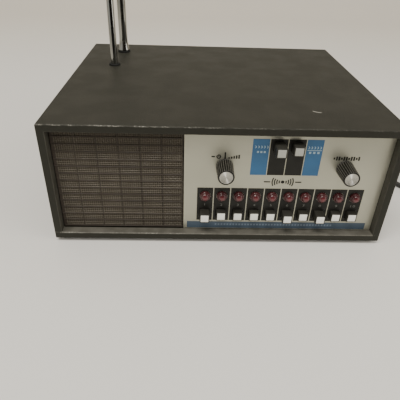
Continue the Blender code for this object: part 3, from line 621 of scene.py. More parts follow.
def cabinet(looks):
    """One skin of vinyl goes round all four boards, so they show as one sleeve."""
    bm = bmesh.new()
    loops = []
    for y, inset in sleeve_profile():
        loop = rounded_frame(inset, max(CORNER - inset, 0.5 * MM))
        loops.append([bm.verts.new((x, y, z)) for x, z in loop])
    bridge(bm, loops, closed=True)
    sides = ("cabinet_top", "cabinet_bottom", "cabinet_left", "cabinet_right")
    sleeve = new_piece("cabinet_sleeve", bm, looks["vinyl"], slot="vinyl_board", stands_for=sides)
    holes = bmesh.new()
    for name in ANTENNAS:
        x, y, _ = upright(f"{name}_base")
        outline = band(0, grommet_neck(name) + 0.3 * MM, 0, 2 * BOARD)
        add_turned(holes, outline, "Z", (x, y, CABINET_TOP - 1.5 * BOARD))
    cut(sleeve, holes)


def feet(looks):
    """Moulded rubber feet, each with a screw in its hollow."""
    for corner in ("front_left", "front_right", "rear_left", "rear_right"):
        node = f"foot_{corner}"
        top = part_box(node)[1].z
        x, y, _ = centre = upright(node)
        radius = half_width(node)
        dressing = {"slot": "rubber", "stands_for": (node,)}
        outline = [(3.2 * MM, 0), (radius - 1.4 * MM, 0)]
        outline += round_over((radius - 0.9 * MM, 0), (radius, 0.9 * MM), (radius - 0.9 * MM, 0.9 * MM))
        outline += [(radius + 0.3 * MM, top), (0, top), (0, 1.8 * MM), (2.9 * MM, 1.8 * MM)]
        turned_piece(f"rubber_{node}", outline, "Z", centre, looks["rubber"], 40, **dressing)
        head = [(0, 0.9 * MM), (1.7 * MM, 0.9 * MM), (2.4 * MM, 1.3 * MM), (2.4 * MM, 1.7 * MM)]
        head += [(0, 1.7 * MM)]
        name = f"foot_screw_{corner}"
        screw = turned_piece(name, head, "Z", centre, looks["zinc"], 24, slot="zinc_steel")
        slot = bmesh.new()
        reach, width = 3 * MM, 0.35 * MM
        add_block(slot, (x - reach, y - width, 0), (x + reach, y + width, 1.2 * MM))
        cut(screw, slot)


# --- speaker grille ------------------------------------------------------------------------------

GRILLE_LOW, GRILLE_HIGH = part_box("speaker_grille")
GRILLE_COLUMNS = 6
GRILLE_ROWS = 14
COLUMN = 15.3 * MM
ROW = 5.83 * MM
RIB = 0.95 * MM
# the extra blank edge at the left is dark plastic that stands in for shade cast by the left board on the mesh
GRILLE_SHADE_MARGIN = 1.2 * MM  # the blank edge is this much wider at the left
WIRE_PITCH = 1.55 * MM
WIRE_RADIUS = 0.30 * MM
MESH_Y = PANEL_Y + 0.75 * MM


def grille_ribs(looks):
    """Moulded grid: upright ribs a little behind the level ones, inside a rim."""
    bm = bmesh.new()
    front, back = GRILLE_LOW.y, GRILLE_HIGH.y
    first_x = GRILLE_HIGH.x - GRILLE_COLUMNS * COLUMN
    first_z = GRILLE_HIGH.z - GRILLE_ROWS * ROW
    half = RIB / 2
    for number in range(GRILLE_ROWS + 1):
        z = min(first_z + number * ROW, GRILLE_HIGH.z - half)
        low = (GRILLE_LOW.x, front, max(z - half, GRILLE_LOW.z))
        add_soft_block(bm, low, (GRILLE_HIGH.x, back, z + half), 0.25 * MM, 1)
    for number in range(GRILLE_COLUMNS + 1):
        x = min(first_x + number * COLUMN, GRILLE_HIGH.x - half)
        # the first upright rib is widened: it stands in for shade from the left board
        x += GRILLE_SHADE_MARGIN * (number == 0)
        low = (x - half if number else GRILLE_LOW.x, front + 0.3 * MM, GRILLE_LOW.z)
        add_soft_block(bm, low, (x + half, back, GRILLE_HIGH.z), 0.25 * MM, 1)
    new_piece("grille_ribs", bm, looks["grille"], slot="black_plastic", stands_for=("speaker_grille",))


def wire_mesh(looks):
    """Bronze screen moulded into the ribs: wires that pass over and under each other in turn."""
    bm = bmesh.new()
    width = GRILLE_HIGH.x - GRILLE_LOW.x
    height = GRILLE_HIGH.z - GRILLE_LOW.z
    across = int(width / WIRE_PITCH)
    up = int(height / WIRE_PITCH)
    left = GRILLE_LOW.x + (width - (across - 1) * WIRE_PITCH) / 2
    low = GRILLE_LOW.z + (height - (up - 1) * WIRE_PITCH) / 2
    for i in range(across):
        x = left + i * WIRE_PITCH
        line = [Vector((x, weave(i + j, 1), low + j * WIRE_PITCH)) for j in range(up)]
        add_wire(bm, line, Vector((1, 0, 0)))
    for j in range(up):
        z = low + j * WIRE_PITCH
        line = [Vector((left + i * WIRE_PITCH, weave(i + j, -1), z)) for i in range(across)]
        add_wire(bm, line, Vector((0, 0, 1)))
    new_piece("speaker_wire_mesh", bm, looks["wire"], slot="bronze_screen", smooth=80)


def weave(crossing, side):
    """Depth of one wire's middle where it passes in front of or behind another."""
    return MESH_Y + side * (1 if crossing % 2 else -1) * WIRE_RADIUS * 0.6


def add_wire(bm, line, sideways):
    """A four-sided wire along a line, with closed ends."""
    ahead = Vector((0, 1, 0)) * WIRE_RADIUS
    aside = sideways * WIRE_RADIUS
    rings = []
    for point in line:
        rings.append([bm.verts.new(point + offset) for offset in (-ahead, aside, ahead, -aside)])
    bridge(bm, rings)
    bm.faces.new(rings[0])
    bm.faces.new(rings[-1])


# --- printed panel -------------------------------------------------------------------------------

INK = 0.1 * MM  # thickness of a printed area over the panel
STRIP_LOW = CABINET_UNDER + 13.9 * MM
STRIP_HIGH = CABINET_UNDER + 43.4 * MM
STRIP_HALF = PITCH / 2 - 0.38 * MM
BAR_LOW = CABINET_UNDER + 55 * MM
BAR_HIGH = CABINET_UNDER + 83.8 * MM
BAR_MIDDLE = (middle("channel_select_button").x + middle("scan_manual_button").x) / 2
BLACK_BAR = (0.32 * MM, 12.6 * MM)  # from the middle to its inner and outer edge
BLUE_BAR = (13.25 * MM, 25.1 * MM)
STRIPE_LOW = CABINET_UNDER + 6.4 * MM
STRIPE_HIGH = CABINET_UNDER + 12.5 * MM
STRIPE_LEFT = -25.4 * MM
STRIPE_RIGHT = 116.4 * MM
DIGIT_Z = CABINET_UNDER + 28.3 * MM
DIGIT_HEIGHT = 2.0 * MM


def channel_x(channel):
    """Where a channel's lamp, number and button stand."""
    return ROW_X + (channel - (len(CHANNELS) + 1) / 2) * PITCH


def add_print(bm, low, high, layer=0):
    """A printed rectangle from (x, z) to (x, z); a higher layer lies over the ones below it."""
    front = PANEL_Y - INK * (1 + 0.5 * layer)
    add_block(bm, (low[0], front, low[1]), (high[0], PANEL_Y + INK / 2, high[1]))


def add_print_shape(bm, outline, layer=0):
    front = PANEL_Y - INK * (1 + 0.5 * layer)
    add_prism(bm, [(x, front, z) for x, z in outline], (0, PANEL_Y + INK / 2 - front, 0))


def add_print_ring(bm, x, z, outer, inner, start=0, stop=360, layer=0):
    """Part of a printed ring about (x, z), between two angles in degrees from +X."""
    steps = max(4, round((stop - start) / 15))
    angles = [math.radians(start + (stop - start) * step / steps) for step in range(steps + 1)]
    outside = [(x + outer * math.cos(a), z + outer * math.sin(a)) for a in angles]
    inside = [(x + inner * math.cos(a), z + inner * math.sin(a)) for a in angles]
    if stop - start < 360:
        add_print_shape(bm, outside + inside[::-1], layer)
        return
    for number in range(steps):
        quad = [outside[number], outside[number + 1], inside[number + 1], inside[number]]
        add_print_shape(bm, quad, layer)


def print_piece(name, bm, ink):
    """Ink rides on the receiver."""
    return new_piece(name, bm, ink, slot="satin_aluminium")


def panel_openings():
    """Tool body for everything that comes out through the panel."""
    bm = bmesh.new()
    front, back = PANEL_Y - 3 * MM, PANEL_Y + 3 * MM
    half = half_width("channel_button_1") + 0.3 * MM
    for button in BUTTONS:
        x, z = middle_xz(button)
        add_block(bm, (x - half, front, z - half), (x + half, back, z + half))
    for channel in CHANNELS:
        outline = band(0, LENS_RADIUS + 0.35 * MM, front, back)
        add_turned(bm, outline, "Y", (channel_x(channel), 0, LAMP_Z), sides=32)
    return bm


def panel_prints(looks):
    """Black strips and bars, blue bars, and the stripe along the foot of the panel, which is the bars' blue
    darkened with painted shade.
    """
    black = bmesh.new()
    for channel in CHANNELS:
        x = channel_x(channel)
        add_print(black, (x - STRIP_HALF, STRIP_LOW), (x + STRIP_HALF, STRIP_HIGH))
    blue = bmesh.new()
    for side in (-1, 1):
        for bm, (inner, outer) in ((black, BLACK_BAR), (blue, BLUE_BAR)):
            left, right = sorted((BAR_MIDDLE + side * inner, BAR_MIDDLE + side * outer))
            add_print(bm, (left, BAR_LOW), (right, BAR_HIGH))
    shaded_stripe = bmesh.new()
    add_print(shaded_stripe, (STRIPE_LEFT, STRIPE_LOW), (STRIPE_RIGHT, STRIPE_HIGH))
    cut(print_piece("print_black", black, looks["black_ink"]), panel_openings())
    print_piece("print_blue", blue, looks["blue_ink"])
    print_piece("print_stripe", shaded_stripe, looks["shaded_blue_ink"])


def channel_numbers(looks):
    """The numbers 1 to 10, small and wide, under the lamps."""
    for channel in CHANNELS:
        curve = bpy.data.curves.new("number", "FONT")
        curve.body = str(channel)
        curve.size = DIGIT_HEIGHT * 1.45
        curve.align_x = "CENTER"
        curve.align_y = "CENTER"
        curve.extrude = INK * 0.8
        curve.space_character = 1.3
        written = link("number", curve)
        mesh = worked_out(written)
        bpy.data.objects.remove(written, do_unlink=True)
        stand = Matrix.Translation((channel_x(channel), PANEL_Y - INK, DIGIT_Z))
        mesh.transform(stand @ Matrix.Rotation(math.pi / 2, 4, "X") @ Matrix.Scale(1.35, 4, (1, 0, 0)))
        number = link(f"number_{channel}", mesh)
        dress(number, looks["grey_ink"], smooth=0)


def control_marks(looks):
    """Signs in place of words: a switch ring and rising bars, an index line, and a noise burst."""
    bm = bmesh.new()
    volume_x, squelch_x = middle("volume_knob").x, middle("squelch_knob").x
    low = CABINET_UNDER + 68.0 * MM
    index_low, index_high = CABINET_UNDER + 66.7 * MM, CABINET_UNDER + 73 * MM
    add_print(bm, (volume_x - 0.5 * MM, index_low), (volume_x + 0.5 * MM, index_high))
    ring_x = volume_x - 4.6 * MM
    add_print_ring(bm, ring_x, low + 1.4 * MM, 1.7 * MM, 0.85 * MM, 125, 415)
    add_print(bm, (ring_x - 0.4 * MM, low + 1.4 * MM), (ring_x + 0.4 * MM, low + 3.3 * MM))
    add_print(bm, (ring_x - 5.2 * MM, low + 0.9 * MM), (ring_x - 2.7 * MM, low + 1.9 * MM))
    for number in range(5):
        x = volume_x + (2.4 + 1.75 * number) * MM
        add_print(bm, (x, low), (x + 1.15 * MM, low + (1.1 + 0.5 * number) * MM))
    for number in range(11):
        x = squelch_x + (number - 5) * 1.8 * MM
        height = (0.8 + 0.9 * abs(math.sin(number * 2.1))) * MM
        add_print(bm, (x - 0.6 * MM, low + 1.5 * MM - height), (x + 0.6 * MM, low + 1.5 * MM + height))
    print_piece("control_marks", bm, looks["black_ink"])


def bar_marks(looks):
    """White signs on the blue bars: a row of arrowheads over blocks, and a line across the right one."""
    bm = bmesh.new()
    left, right = BAR_MIDDLE - 18.6 * MM, BAR_MIDDLE + 19.3 * MM
    top, bottom = CABINET_UNDER + 77.6 * MM, CABINET_UNDER + 73.7 * MM
    for number in range(5):
        add_chevron(bm, left + (number - 2) * 2.1 * MM, top)
        add_chevron(bm, right + (number - 2) * 2.1 * MM, top)
    for number in range(3):
        add_print(bm, *block_about(left + (number - 1) * 2.4 * MM, bottom, 0.75 * MM), layer=1)
        add_print(bm, *block_about(right + (number - 1) * 3.0 * MM, bottom, 0.8 * MM), layer=1)
    line = CABINET_UNDER + 75.5 * MM
    add_print(bm, (right - 5.2 * MM, line - 0.25 * MM), (right + 5.2 * MM, line + 0.25 * MM), layer=1)
    print_piece("bar_marks", bm, looks["white_ink"])


def block_about(x, z, half):
    """Opposite corners of a square about (x, z)."""
    return (x - half, z - half), (x + half, z + half)


def add_chevron(bm, x, z):
    """A small arrowhead that points right."""
    reach, height, thick = 0.7 * MM, 1.0 * MM, 0.7 * MM
    outline = [(x - reach, z + height), (x - reach + thick, z + height), (x + reach, z)]
    outline += [(x - reach + thick, z - height), (x - reach, z - height), (x + reach - thick, z)]
    add_print_shape(bm, outline, layer=1)


def stripe_marks(looks):
    """A faint row of even dashes along the stripe."""
    bm = bmesh.new()
    z = (STRIPE_LOW + STRIPE_HIGH) / 2 + 0.4 * MM
    for number in range(40):
        x = (-3.5 + 2.35 * number) * MM
        add_print(bm, (x, z - 0.8 * MM), (x + 1.4 * MM, z + 0.8 * MM), layer=1)
    print_piece("stripe_marks", bm, looks["faint_ink"])


def emblem(looks):
    """A made-up sign between the bars and the strips: a dot that sends waves to two short dashes."""
    bm = bmesh.new()
    x, z = BAR_MIDDLE, CABINET_UNDER + 49.2 * MM
    add_print_ring(bm, x, z, 1.3 * MM, 0.05 * MM)
    for number in range(4):
        reach = (2.6 + 1.75 * number) * MM
        for start in (-26, 154):
            add_print_ring(bm, x, z, reach + 0.45 * MM, reach - 0.45 * MM, start, start + 52)
    for side in (-1, 1):
        ends = sorted((x + side * 9.3 * MM, x + side * 14.0 * MM))
        add_print(bm, (ends[0], z - 0.45 * MM), (ends[1], z + 0.45 * MM))
    print_piece("emblem", bm, looks["black_ink"])


# --- lamps, buttons and knobs --------------------------------------------------------------------

LENS_LOW, LENS_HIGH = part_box("lamp_lens_strip")
LENS_RADIUS = 3.9 * MM
LENS_BARREL = 2.4 * MM


def lamp_lenses(looks):
    """Ten pressed lenses on one backing strip: a stepped barrel with a smaller dome on it."""
    bm = bmesh.new()
    shoulder = PANEL_Y - LENS_BARREL
    tip = LENS_LOW.y
    base = LENS_HIGH.y - 1.5 * MM
    dome = 3.1 * MM
    rim = 0.7 * MM
    flat = LENS_RADIUS - rim
    outline = [(0, base + 0.5 * MM), (LENS_RADIUS, base + 0.5 * MM)]
    outline += round_over((LENS_RADIUS, shoulder + rim), (flat, shoulder), (flat, shoulder + rim))
    outline += [(dome + 0.05 * MM, shoulder + 0.12 * MM)]
    for step in range(8):
        angle = math.radians(90 * step / 8)
        outline.append((dome * math.cos(angle), shoulder - (shoulder - tip) * math.sin(angle)))
    outline.append((0, tip))
    for channel in CHANNELS:
        add_turned(bm, outline, "Y", (channel_x(channel), 0, LAMP_Z), sides=32)
    add_soft_block(bm, (LENS_LOW.x, base, LENS_LOW.z), LENS_HIGH, 0.3 * MM)
    new_piece("lamp_lenses", bm, looks["lens"], slot="red_lens", smooth=25, stands_for=("lamp_lens_strip",))


def push_button(node, looks):
    """A black key with a white tile let into its face."""
    low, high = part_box(node)
    half = half_width(node)
    x, z = middle_xz(node)
    key = bmesh.new()
    stem = 1.5 * MM
    key_end = high.y - 14 * MM
    add_soft_block(key, (x - half, low.y, z - half), (x + half, key_end, z + half), 0.5 * MM, 3)
    add_soft_block(key, (x - stem, key_end - 1 * MM, z - stem), (x + stem, high.y, z + stem), 0.2 * MM)
    key = new_piece(f"{node}_key", key, looks["black"], node, "black_plastic", stands_for=(node,))
    tile = 2.95 * MM
    seat = bmesh.new()
    edge = tile + 0.05 * MM
    add_block(seat, (x - edge, low.y - 1 * MM, z - edge), (x + edge, low.y + 0.8 * MM, z + edge))
    cut(key, seat)
    face = bmesh.new()
    front, back = low.y - 0.15 * MM, low.y + 0.7 * MM
    add_soft_block(face, (x - tile, front, z - tile), (x + tile, back, z + tile), 0.3 * MM, 3)
    # the two upper tiles take the copy of the white that is darkened with painted shade
    tone = "white" if node in CHANNEL_BUTTONS else "shaded_white"
    new_piece(f"{node}_tile", face, looks[tone], node, "white_button")


KNOB_FLUTES = 24
FLUTE_DEPTH = 0.75 * MM
CREST_SHEEN_FROM = 5.5 * MM  # nearer its axis than this, a grip's crests get no painted highlight
DISC_RADIUS = 4.75 * MM
DISC_SEAT = 0.45 * MM  # depth of the hollow that holds the disc


def knob_grip(name):
    """Fluted grip with a hollow for its disc, a bore for its shaft and a plain skirt at the panel."""
    node = f"{name}_knob"
    low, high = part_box(node)
    x, z = middle_xz(node)
    base = half_width(node)
    face = base - 0.5 * MM
    bore = 3.3 * MM
    bore_end = low.y + 3 * MM
    outline = [(0, bore_end), (bore, bore_end), (bore, high.y), (base - 0.6 * MM, high.y)]
    outline += [(base - 0.1 * MM, high.y - 0.4 * MM)]
    fluted = range(len(outline), len(outline) + 2)
    outline += [(base, high.y - 1.0 * MM), (face, low.y + 1.1 * MM)]
    inner, depth = face - 0.5 * MM, low.y + 0.5 * MM
    outline += round_over((face - 0.1 * MM, depth), (inner, low.y), (inner, depth), 3)
    outline += [(DISC_RADIUS + 0.25 * MM, low.y), (DISC_RADIUS + 0.05 * MM, low.y + 0.15 * MM)]
    outline += [(DISC_RADIUS + 0.05 * MM, low.y + DISC_SEAT), (0, low.y + DISC_SEAT)]

    def flutes(number, angle):
        if number not in fluted:
            return 1
        hollow = 0.5 - 0.5 * math.cos(KNOB_FLUTES * angle)
        return 1 - FLUTE_DEPTH / base * hollow**0.6

    dressing = {"body": name, "slot": "black_plastic", "stands_for": (node,)}
    sides = KNOB_FLUTES * 8
    turned_piece(f"{name}_grip", outline, "Y", (x, 0, z), grip_look(name, x, z), sides, flutes, **dressing)


def knob_disc(name):
    """Slightly dished metal disc with a raised rim, let into the grip's face."""
    x, z = middle_xz(f"{name}_knob")
    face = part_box(f"{name}_knob")[0].y
    back = face + DISC_SEAT + 0.1 * MM
    dish = [(0, back), (DISC_RADIUS, back), (DISC_RADIUS, face + 0.2 * MM)]
    dish += [(DISC_RADIUS - 0.25 * MM, face + 0.12 * MM), (DISC_RADIUS - 0.5 * MM, face + 0.2 * MM)]
    dish += [(0.6 * MM, face + 0.32 * MM), (0, face + 0.34 * MM)]
    dressing = {"body": name, "slot": "satin_aluminium", "smooth": 50}
    turned_piece(f"{name}_disc", dish, "Y", (x, 0, z), spun_look(name, x, z), 64, **dressing)


# --- antennas ------------------------------------------------------------------------------------

ANTENNAS = {"front_antenna": 3, "rear_antenna": 4}  # sliding sections of each
ANTENNA_STEP = 0.6 * MM  # each section's radius is this much less than the one around it
ANTENNA_WALL = 0.3 * MM
COLLAR = (
    *((1.4, 0.3), (1.7, 0.6), (1.7, 1.1), (1.3, 2.1), (1.0, 3.3)),
    *((0.7, 4.8), (0.5, 6.3), (0.2, 8.2), (0.1, 9.7)),
)  # millimetres out from the tube and up from the grommet


def tube_radius(name):
    return half_width(f"{name}_section_1") + ANTENNA_STEP


def grommet_neck(name):
    return tube_radius(name) + 1.2 * MM


def antenna(name, looks):
    """Plated tubes, each rolled in at its mouth over the next, and a ball on the last."""
    tube(f"{name}_base", tube_radius(name), looks, RECEIVER, COLLAR if name == "rear_antenna" else ())
    *tubes, last = [f"{name}_section_{number + 1}" for number in range(ANTENNAS[name])]
    for node in tubes:
        tube(node, half_width(node), looks, node)
    low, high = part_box(last)
    ball = half_width(last)
    rod = half_width(tubes[-1]) - ANTENNA_STEP
    outline = [(0, low.z), (rod, low.z), (rod, high.z - 2 * ball)]
    for step in range(1, 13):
        angle = math.radians(-55 + 145 * step / 12)
        outline.append((ball * math.cos(angle), high.z - ball + ball * math.sin(angle)))
    outline[-1] = (0, high.z)
    dressing = {"body": last, "slot": "chrome", "stands_for": (last,)}
    turned_piece(f"{last}_rod", outline, "Z", upright(f"{name}_base"), looks["chrome"], 32, **dressing)


def tube(node, radius, looks, body, collar=()):
    """A tube with a rolled mouth, and a flared collar at the grommet where one is given."""
    low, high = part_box(node)
    inner = radius - ANTENNA_WALL
    foot = CABINET_TOP + 1.5 * MM
    outline = [(inner, low.z), (radius, low.z)]
    if collar:
        outline.append((radius, foot + collar[0][1] * MM))
        outline += [(radius + out * MM, foot + up * MM) for out, up in collar]
        outline.append((radius, foot + (collar[-1][1] + 0.1) * MM))
    groove = radius - 0.12 * MM
    outline += [(radius, high.z - 2.2 * MM), (groove, high.z - 1.9 * MM), (groove, high.z - 1.5 * MM)]
    outline += [(radius, high.z - 1.2 * MM), (radius, high.z - 0.25 * MM)]
    outline += [(radius - 0.1 * MM, high.z), (inner, high.z)]
    dressing = {"body": body, "slot": "chrome", "stands_for": (node,)}
    turned_piece(f"{node}_tube", outline, "Z", upright(node), looks["chrome"], 32, **dressing)


def grommet(name, looks):
    """Soft ring in the top board, with a lip that hugs the tube."""
    node = f"{name}_grommet"
    low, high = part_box(node)
    bore = tube_radius(name) + 0.1 * MM
    neck = grommet_neck(name)
    flange = half_width(node)
    lip = flange - 0.9 * MM
    seat = CABINET_TOP + 0.05 * MM
    edge = seat + 0.5 * MM
    outline = [(bore, low.z), (neck, low.z), (neck, seat), (flange, seat)]
    outline += round_over((flange, edge), (lip, high.z), (lip, edge))
    outline += [(bore, high.z)]
    dressing = {"slot": "rubber", "stands_for": (node,)}
    turned_piece(f"{name}_ring", outline, "Z", upright(f"{name}_base"), looks["rubber"], 40, **dressing)


# --- rear ----------------------------------------------------------------------------------------


def rear_screws(looks):
    """Pan-head screws round the edge of the rear panel, each with a crossed recess."""
    panel_low, panel_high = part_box("rear_panel")
    bm = bmesh.new()
    slots = bmesh.new()
    random.seed(4)
    face = panel_high.y
    edge = face + 0.5 * MM
    head = [(0, face - 0.2 * MM), (3 * MM, face - 0.2 * MM)]
    head += round_over((3 * MM, edge), (1 * MM, face + 1.9 * MM), (1 * MM, edge))
    head += [(0, face + 1.95 * MM)]
    reach = panel_high.x - 7 * MM
    for x in (-reach, 0, reach):
        for z in (panel_low.z + 6 * MM, panel_high.z - 6 * MM):
            add_turned(bm, head, "Y", (x, 0, z), sides=28)
            add_cross(slots, x, face + 0.9 * MM, z, random.uniform(0, 90))
    cut(new_piece("rear_screws", bm, looks["zinc"], slot="zinc_steel"), slots)


def add_cross(bm, x, y, z, degrees):
    """A plus-shaped tool body for a crossed recess."""
    reach, half = 1.8 * MM, 0.32 * MM
    outline = []
    for quarter in range(4):
        angle = math.radians(degrees + 90 * quarter)
        for out, side in ((reach, -half), (reach, half), (half, half)):
            along = out * math.cos(angle) - side * math.sin(angle)
            up = out * math.sin(angle) + side * math.cos(angle)
            outline.append((x + along, y, z + up))
    add_prism(bm, outline, (0, 3 * MM, 0))


def jack_details(looks):
    """Nut, insulator and contact of the antenna jack, and the nut of the loudspeaker jack."""
    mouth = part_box("antenna_jack")[1].y
    x, z = middle_xz("antenna_jack")
    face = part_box("rear_panel")[1].y
    nut = bmesh.new()
    add_nut(nut, x, z, face, 8.2 * MM, 5.6 * MM, 1.8 * MM)
    add_nut(nut, *middle_xz("external_speaker_jack"), face + 0.3 * MM, 5.6 * MM, 4.3 * MM, 1.4 * MM)
    new_piece("jack_nuts", nut, looks["zinc"], slot="zinc_steel")
    ring = band(1.1 * MM, 4.25 * MM, mouth - 6 * MM, mouth - 4.6 * MM)
    core = looks["insulator"]
    turned_piece("antenna_jack_insulator", ring, "Y", (x, 0, z), core, 32, slot="insulator")
    socket = band(0.5 * MM, 1.05 * MM, mouth - 7 * MM, mouth - 3 * MM)
    turned_piece("antenna_jack_contact", socket, "Y", (x, 0, z), looks["brass"], 24, slot="chrome")


def add_nut(bm, x, z, y, across, bore, thickness):
    """A six-sided nut with a chamfered outer face, flat against the panel."""
    corner = across / math.sqrt(3) * 1.15
    outline = [(bore, y), (corner, y), (corner, y + thickness - 0.3 * MM), (corner - 0.5 * MM, y + thickness)]
    outline += [(bore, y + thickness)]

    def six_sides(number, angle):
        if number not in (1, 2, 3):
            return 1
        return math.cos(math.pi / 6) / math.cos((angle + math.pi / 6) % (math.pi / 3) - math.pi / 6)

    add_turned(bm, outline, "Y", (x, 0, z), sides=48, wave=six_sides)


def strain_relief(looks):
    """Tapered rubber sleeve with grooves cut round it."""
    x, z = middle_xz("strain_relief")
    inside, face = (corner.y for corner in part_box("rear_panel"))
    bore = CORD_RADIUS
    outline = [(bore, RELIEF_LOW.y), (5.6 * MM, RELIEF_LOW.y), (5.6 * MM, inside), (4.5 * MM, inside)]
    outline += [(4.5 * MM, face + 0.1 * MM), (6.5 * MM, face + 0.1 * MM)]
    outline += [(6.5 * MM, face + 1.6 * MM), (6.0 * MM, face + 2.1 * MM)]
    start, grooves = face + 2.7 * MM, 7
    pitch = (RELIEF_HIGH.y - start) / grooves
    for number in range(grooves):
        wide = (4.8 - 0.23 * number) * MM
        begin = start + number * pitch
        outline += [(wide - 0.6 * MM, begin), (wide, begin + 0.35 * MM)]
        outline += [(wide - 0.05 * MM, begin + pitch * 0.62), (wide - 0.65 * MM, begin + pitch * 0.74)]
    outline += [(3.0 * MM, RELIEF_HIGH.y), (bore, RELIEF_HIGH.y)]
    dressing = {"slot": "rubber", "stands_for": ("strain_relief",)}
    turned_piece("cord_sleeve", outline, "Y", (x, 0, z), looks["cord"], 32, **dressing)


# --- mains cord ----------------------------------------------------------------------------------

CORD_RADIUS = 2.3 * MM
COIL_LOW, COIL_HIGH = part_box("cord_coil")
COIL_CENTRE = (COIL_LOW + COIL_HIGH) / 2
COIL_COLUMNS = 3
COIL_LAYERS = 4
COIL_OUTER = (COIL_HIGH.x - COIL_LOW.x) / 2 - CORD_RADIUS
COIL_ENTRY = math.radians(225)
RELIEF_LOW, RELIEF_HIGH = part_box("strain_relief")
CORD_EXIT = Vector((middle("strain_relief").x, RELIEF_HIGH.y, middle("strain_relief").z))
CORD_REST_Z = 2.4 * MM
CORD_ROUTE = (
    (80.0, 131.0, 23.4),
    (80.6, 141.0, 19.0),
    (83.0, 151.0, 11.5),
    (88.0, 161.0, 5.2),
    (97.0, 169.5, 2.6),
    (110.0, 174.0, 2.4),
    (125.0, 172.0, 2.4),
    (138.5, 162.5, 2.4),
    (148.0, 147.0, 2.4),
    (154.0, 127.0, 2.4),
    (157.5, 105.0, 2.4),
    (159.5, 82.0, 2.4),
    (161.0, 59.0, 2.4),
    (163.5, 36.5, 2.4),
    (167.5, 15.0, 2.4),
    (173.8, -5.5, 2.4),
    (182.0, -21.2, 2.4),
    (190.8, -30.8, 2.4),
)  # millimetres, from the strain relief to the coil
TAIL_ROUTE = (
    (257.2, -3.5, 14.6),
    (257.2, 4.0, 11.6),
    (257.2, 11.0, 8.9),
    (257.2, 17.0, 7.5),
    (257.2, 22.0, 7.0),
)  # millimetres, from the top of the coil to the plug


def coil_points():
    """Turns that spiral in, climb an eighth of a turn, spiral out, and so on up the layers."""
    points = []
    angle = COIL_ENTRY
    thickness = 2 * CORD_RADIUS
    steps = 24
    for layer in range(COIL_LAYERS):
        height = CORD_REST_Z + layer * thickness
        for step in range((COIL_COLUMNS - 1) * steps + 1):
            moved = step / steps * thickness
            radius = COIL_OUTER - (moved if layer % 2 == 0 else (COIL_COLUMNS - 1) * thickness - moved)
            points.append(ring_point(radius, angle + 2 * math.pi * step / steps, height))
        angle += 2 * math.pi * (COIL_COLUMNS - 1)
        if layer == COIL_LAYERS - 1:
            break
        for share in (1 / 3, 2 / 3):
            lift = thickness * (0.5 - 0.5 * math.cos(math.pi * share))
            points.append(ring_point(radius, angle + math.pi / 4 * share, height + lift))
        angle += math.pi / 4
    return points


def ring_point(radius, angle, height):
    x = COIL_CENTRE.x + radius * math.cos(angle)
    y = COIL_CENTRE.y + radius * math.sin(angle)
    return Vector((x, y, height))


def smooth_curve(points, pieces=4):
    """A Catmull-Rom curve through the points, with this many stretches between two of them."""
    ends = [2 * points[0] - points[1], *points, 2 * points[-1] - points[-2]]
    made = []
    for number in range(len(points) - 1):
        before, start, stop, after = ends[number : number + 4]
        for step in range(pieces):
            t = step / pieces
            bend = 2 * start + (stop - before) * t
            bend += (2 * before - 5 * start + 4 * stop - after) * t**2
            bend += (3 * start - before - 3 * stop + after) * t**3
            made.append(bend / 2)
    return made + [points[-1]]


def power_cord(looks):
    """One round cord from the strain relief through the coil to the plug."""
    route = [CORD_EXIT] + [Vector(point) * MM for point in CORD_ROUTE]
    tail = [Vector(point) * MM for point in TAIL_ROUTE]
    line = smooth_curve(route + coil_points() + tail)
    curve = bpy.data.curves.new("power_cord_run", "CURVE")
    curve.dimensions = "3D"
    curve.bevel_depth = CORD_RADIUS
    curve.bevel_resolution = 4
    curve.use_fill_caps = True
    spline = curve.splines.new("POLY")
    spline.points.add(len(line) - 1)
    for knot, point in zip(spline.points, line):
        knot.co = (*point, 1.0)
    cord = link("power_cord_run", curve)
    curve.materials.append(looks["cord"])
    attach(cord, RECEIVER)
    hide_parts("power_cord", "cord_coil", "power_cord_tail")


# --- plug and tie --------------------------------------------------------------------------------


PLUG_LOW, PLUG_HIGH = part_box("plug")
PLUG_X, PLUG_Z = middle_xz("plug")
HEAD_START = PLUG_LOW.y + 20 * MM
HEAD_END = PLUG_HIGH.y - 16 * MM
HEAD_SHAPE = {0: 0.86, 0.04: 0.95, 0.12: 1, 0.4: 1, 0.7: 1, 0.94: 1, 1: 0.93}  # size along the head


def plug_body(looks):
    """Moulded plug on its side, with grip ridges and a boot that tapers to the cord."""
    bm = bmesh.new()
    outline = [(0, PLUG_LOW.y), (2.9 * MM, PLUG_LOW.y), (3.2 * MM, PLUG_LOW.y + 0.4 * MM)]
    for number in range(5):
        begin = PLUG_LOW.y + (3 + 3 * number) * MM
        wide = (3.3 + 0.2 * number) * MM
        outline += [(wide, begin), (wide - 0.6 * MM, begin + 0.4 * MM)]
        outline += [(wide - 0.6 * MM, begin + 1.2 * MM), (wide + 0.1 * MM, begin + 1.6 * MM)]
    outline += [(4.4 * MM, HEAD_START + 1 * MM), (0, HEAD_START + 1 * MM)]
    add_turned(bm, outline, "Y", (PLUG_X, 0, PLUG_Z), sides=32)
    head = []
    for share, size in HEAD_SHAPE.items():
        wide = (7 + 5 * share) * MM
        y = HEAD_START + share * (HEAD_END - HEAD_START)
        loop = rounded_box_loop(wide * size, PLUG_Z * size, 3 * MM)
        head.append([bm.verts.new((PLUG_X + out, y, PLUG_Z + rise)) for out, rise in loop])
    bridge(bm, head)
    bm.faces.new(head[0])
    bm.faces.new(head[-1])
    top = 2 * PLUG_Z
    for number in range(4):
        y = HEAD_START + (5 + 3.2 * number) * MM
        half = (4.2 + 0.7 * number) * MM
        low = (PLUG_X - half, y, top - 0.6 * MM)
        add_soft_block(bm, low, (PLUG_X + half, y + 1.4 * MM, top - 0.02 * MM), 0.25 * MM)
    new_piece("plug_body", bm, looks["cord"], slot="cord_rubber", stands_for=("plug",))


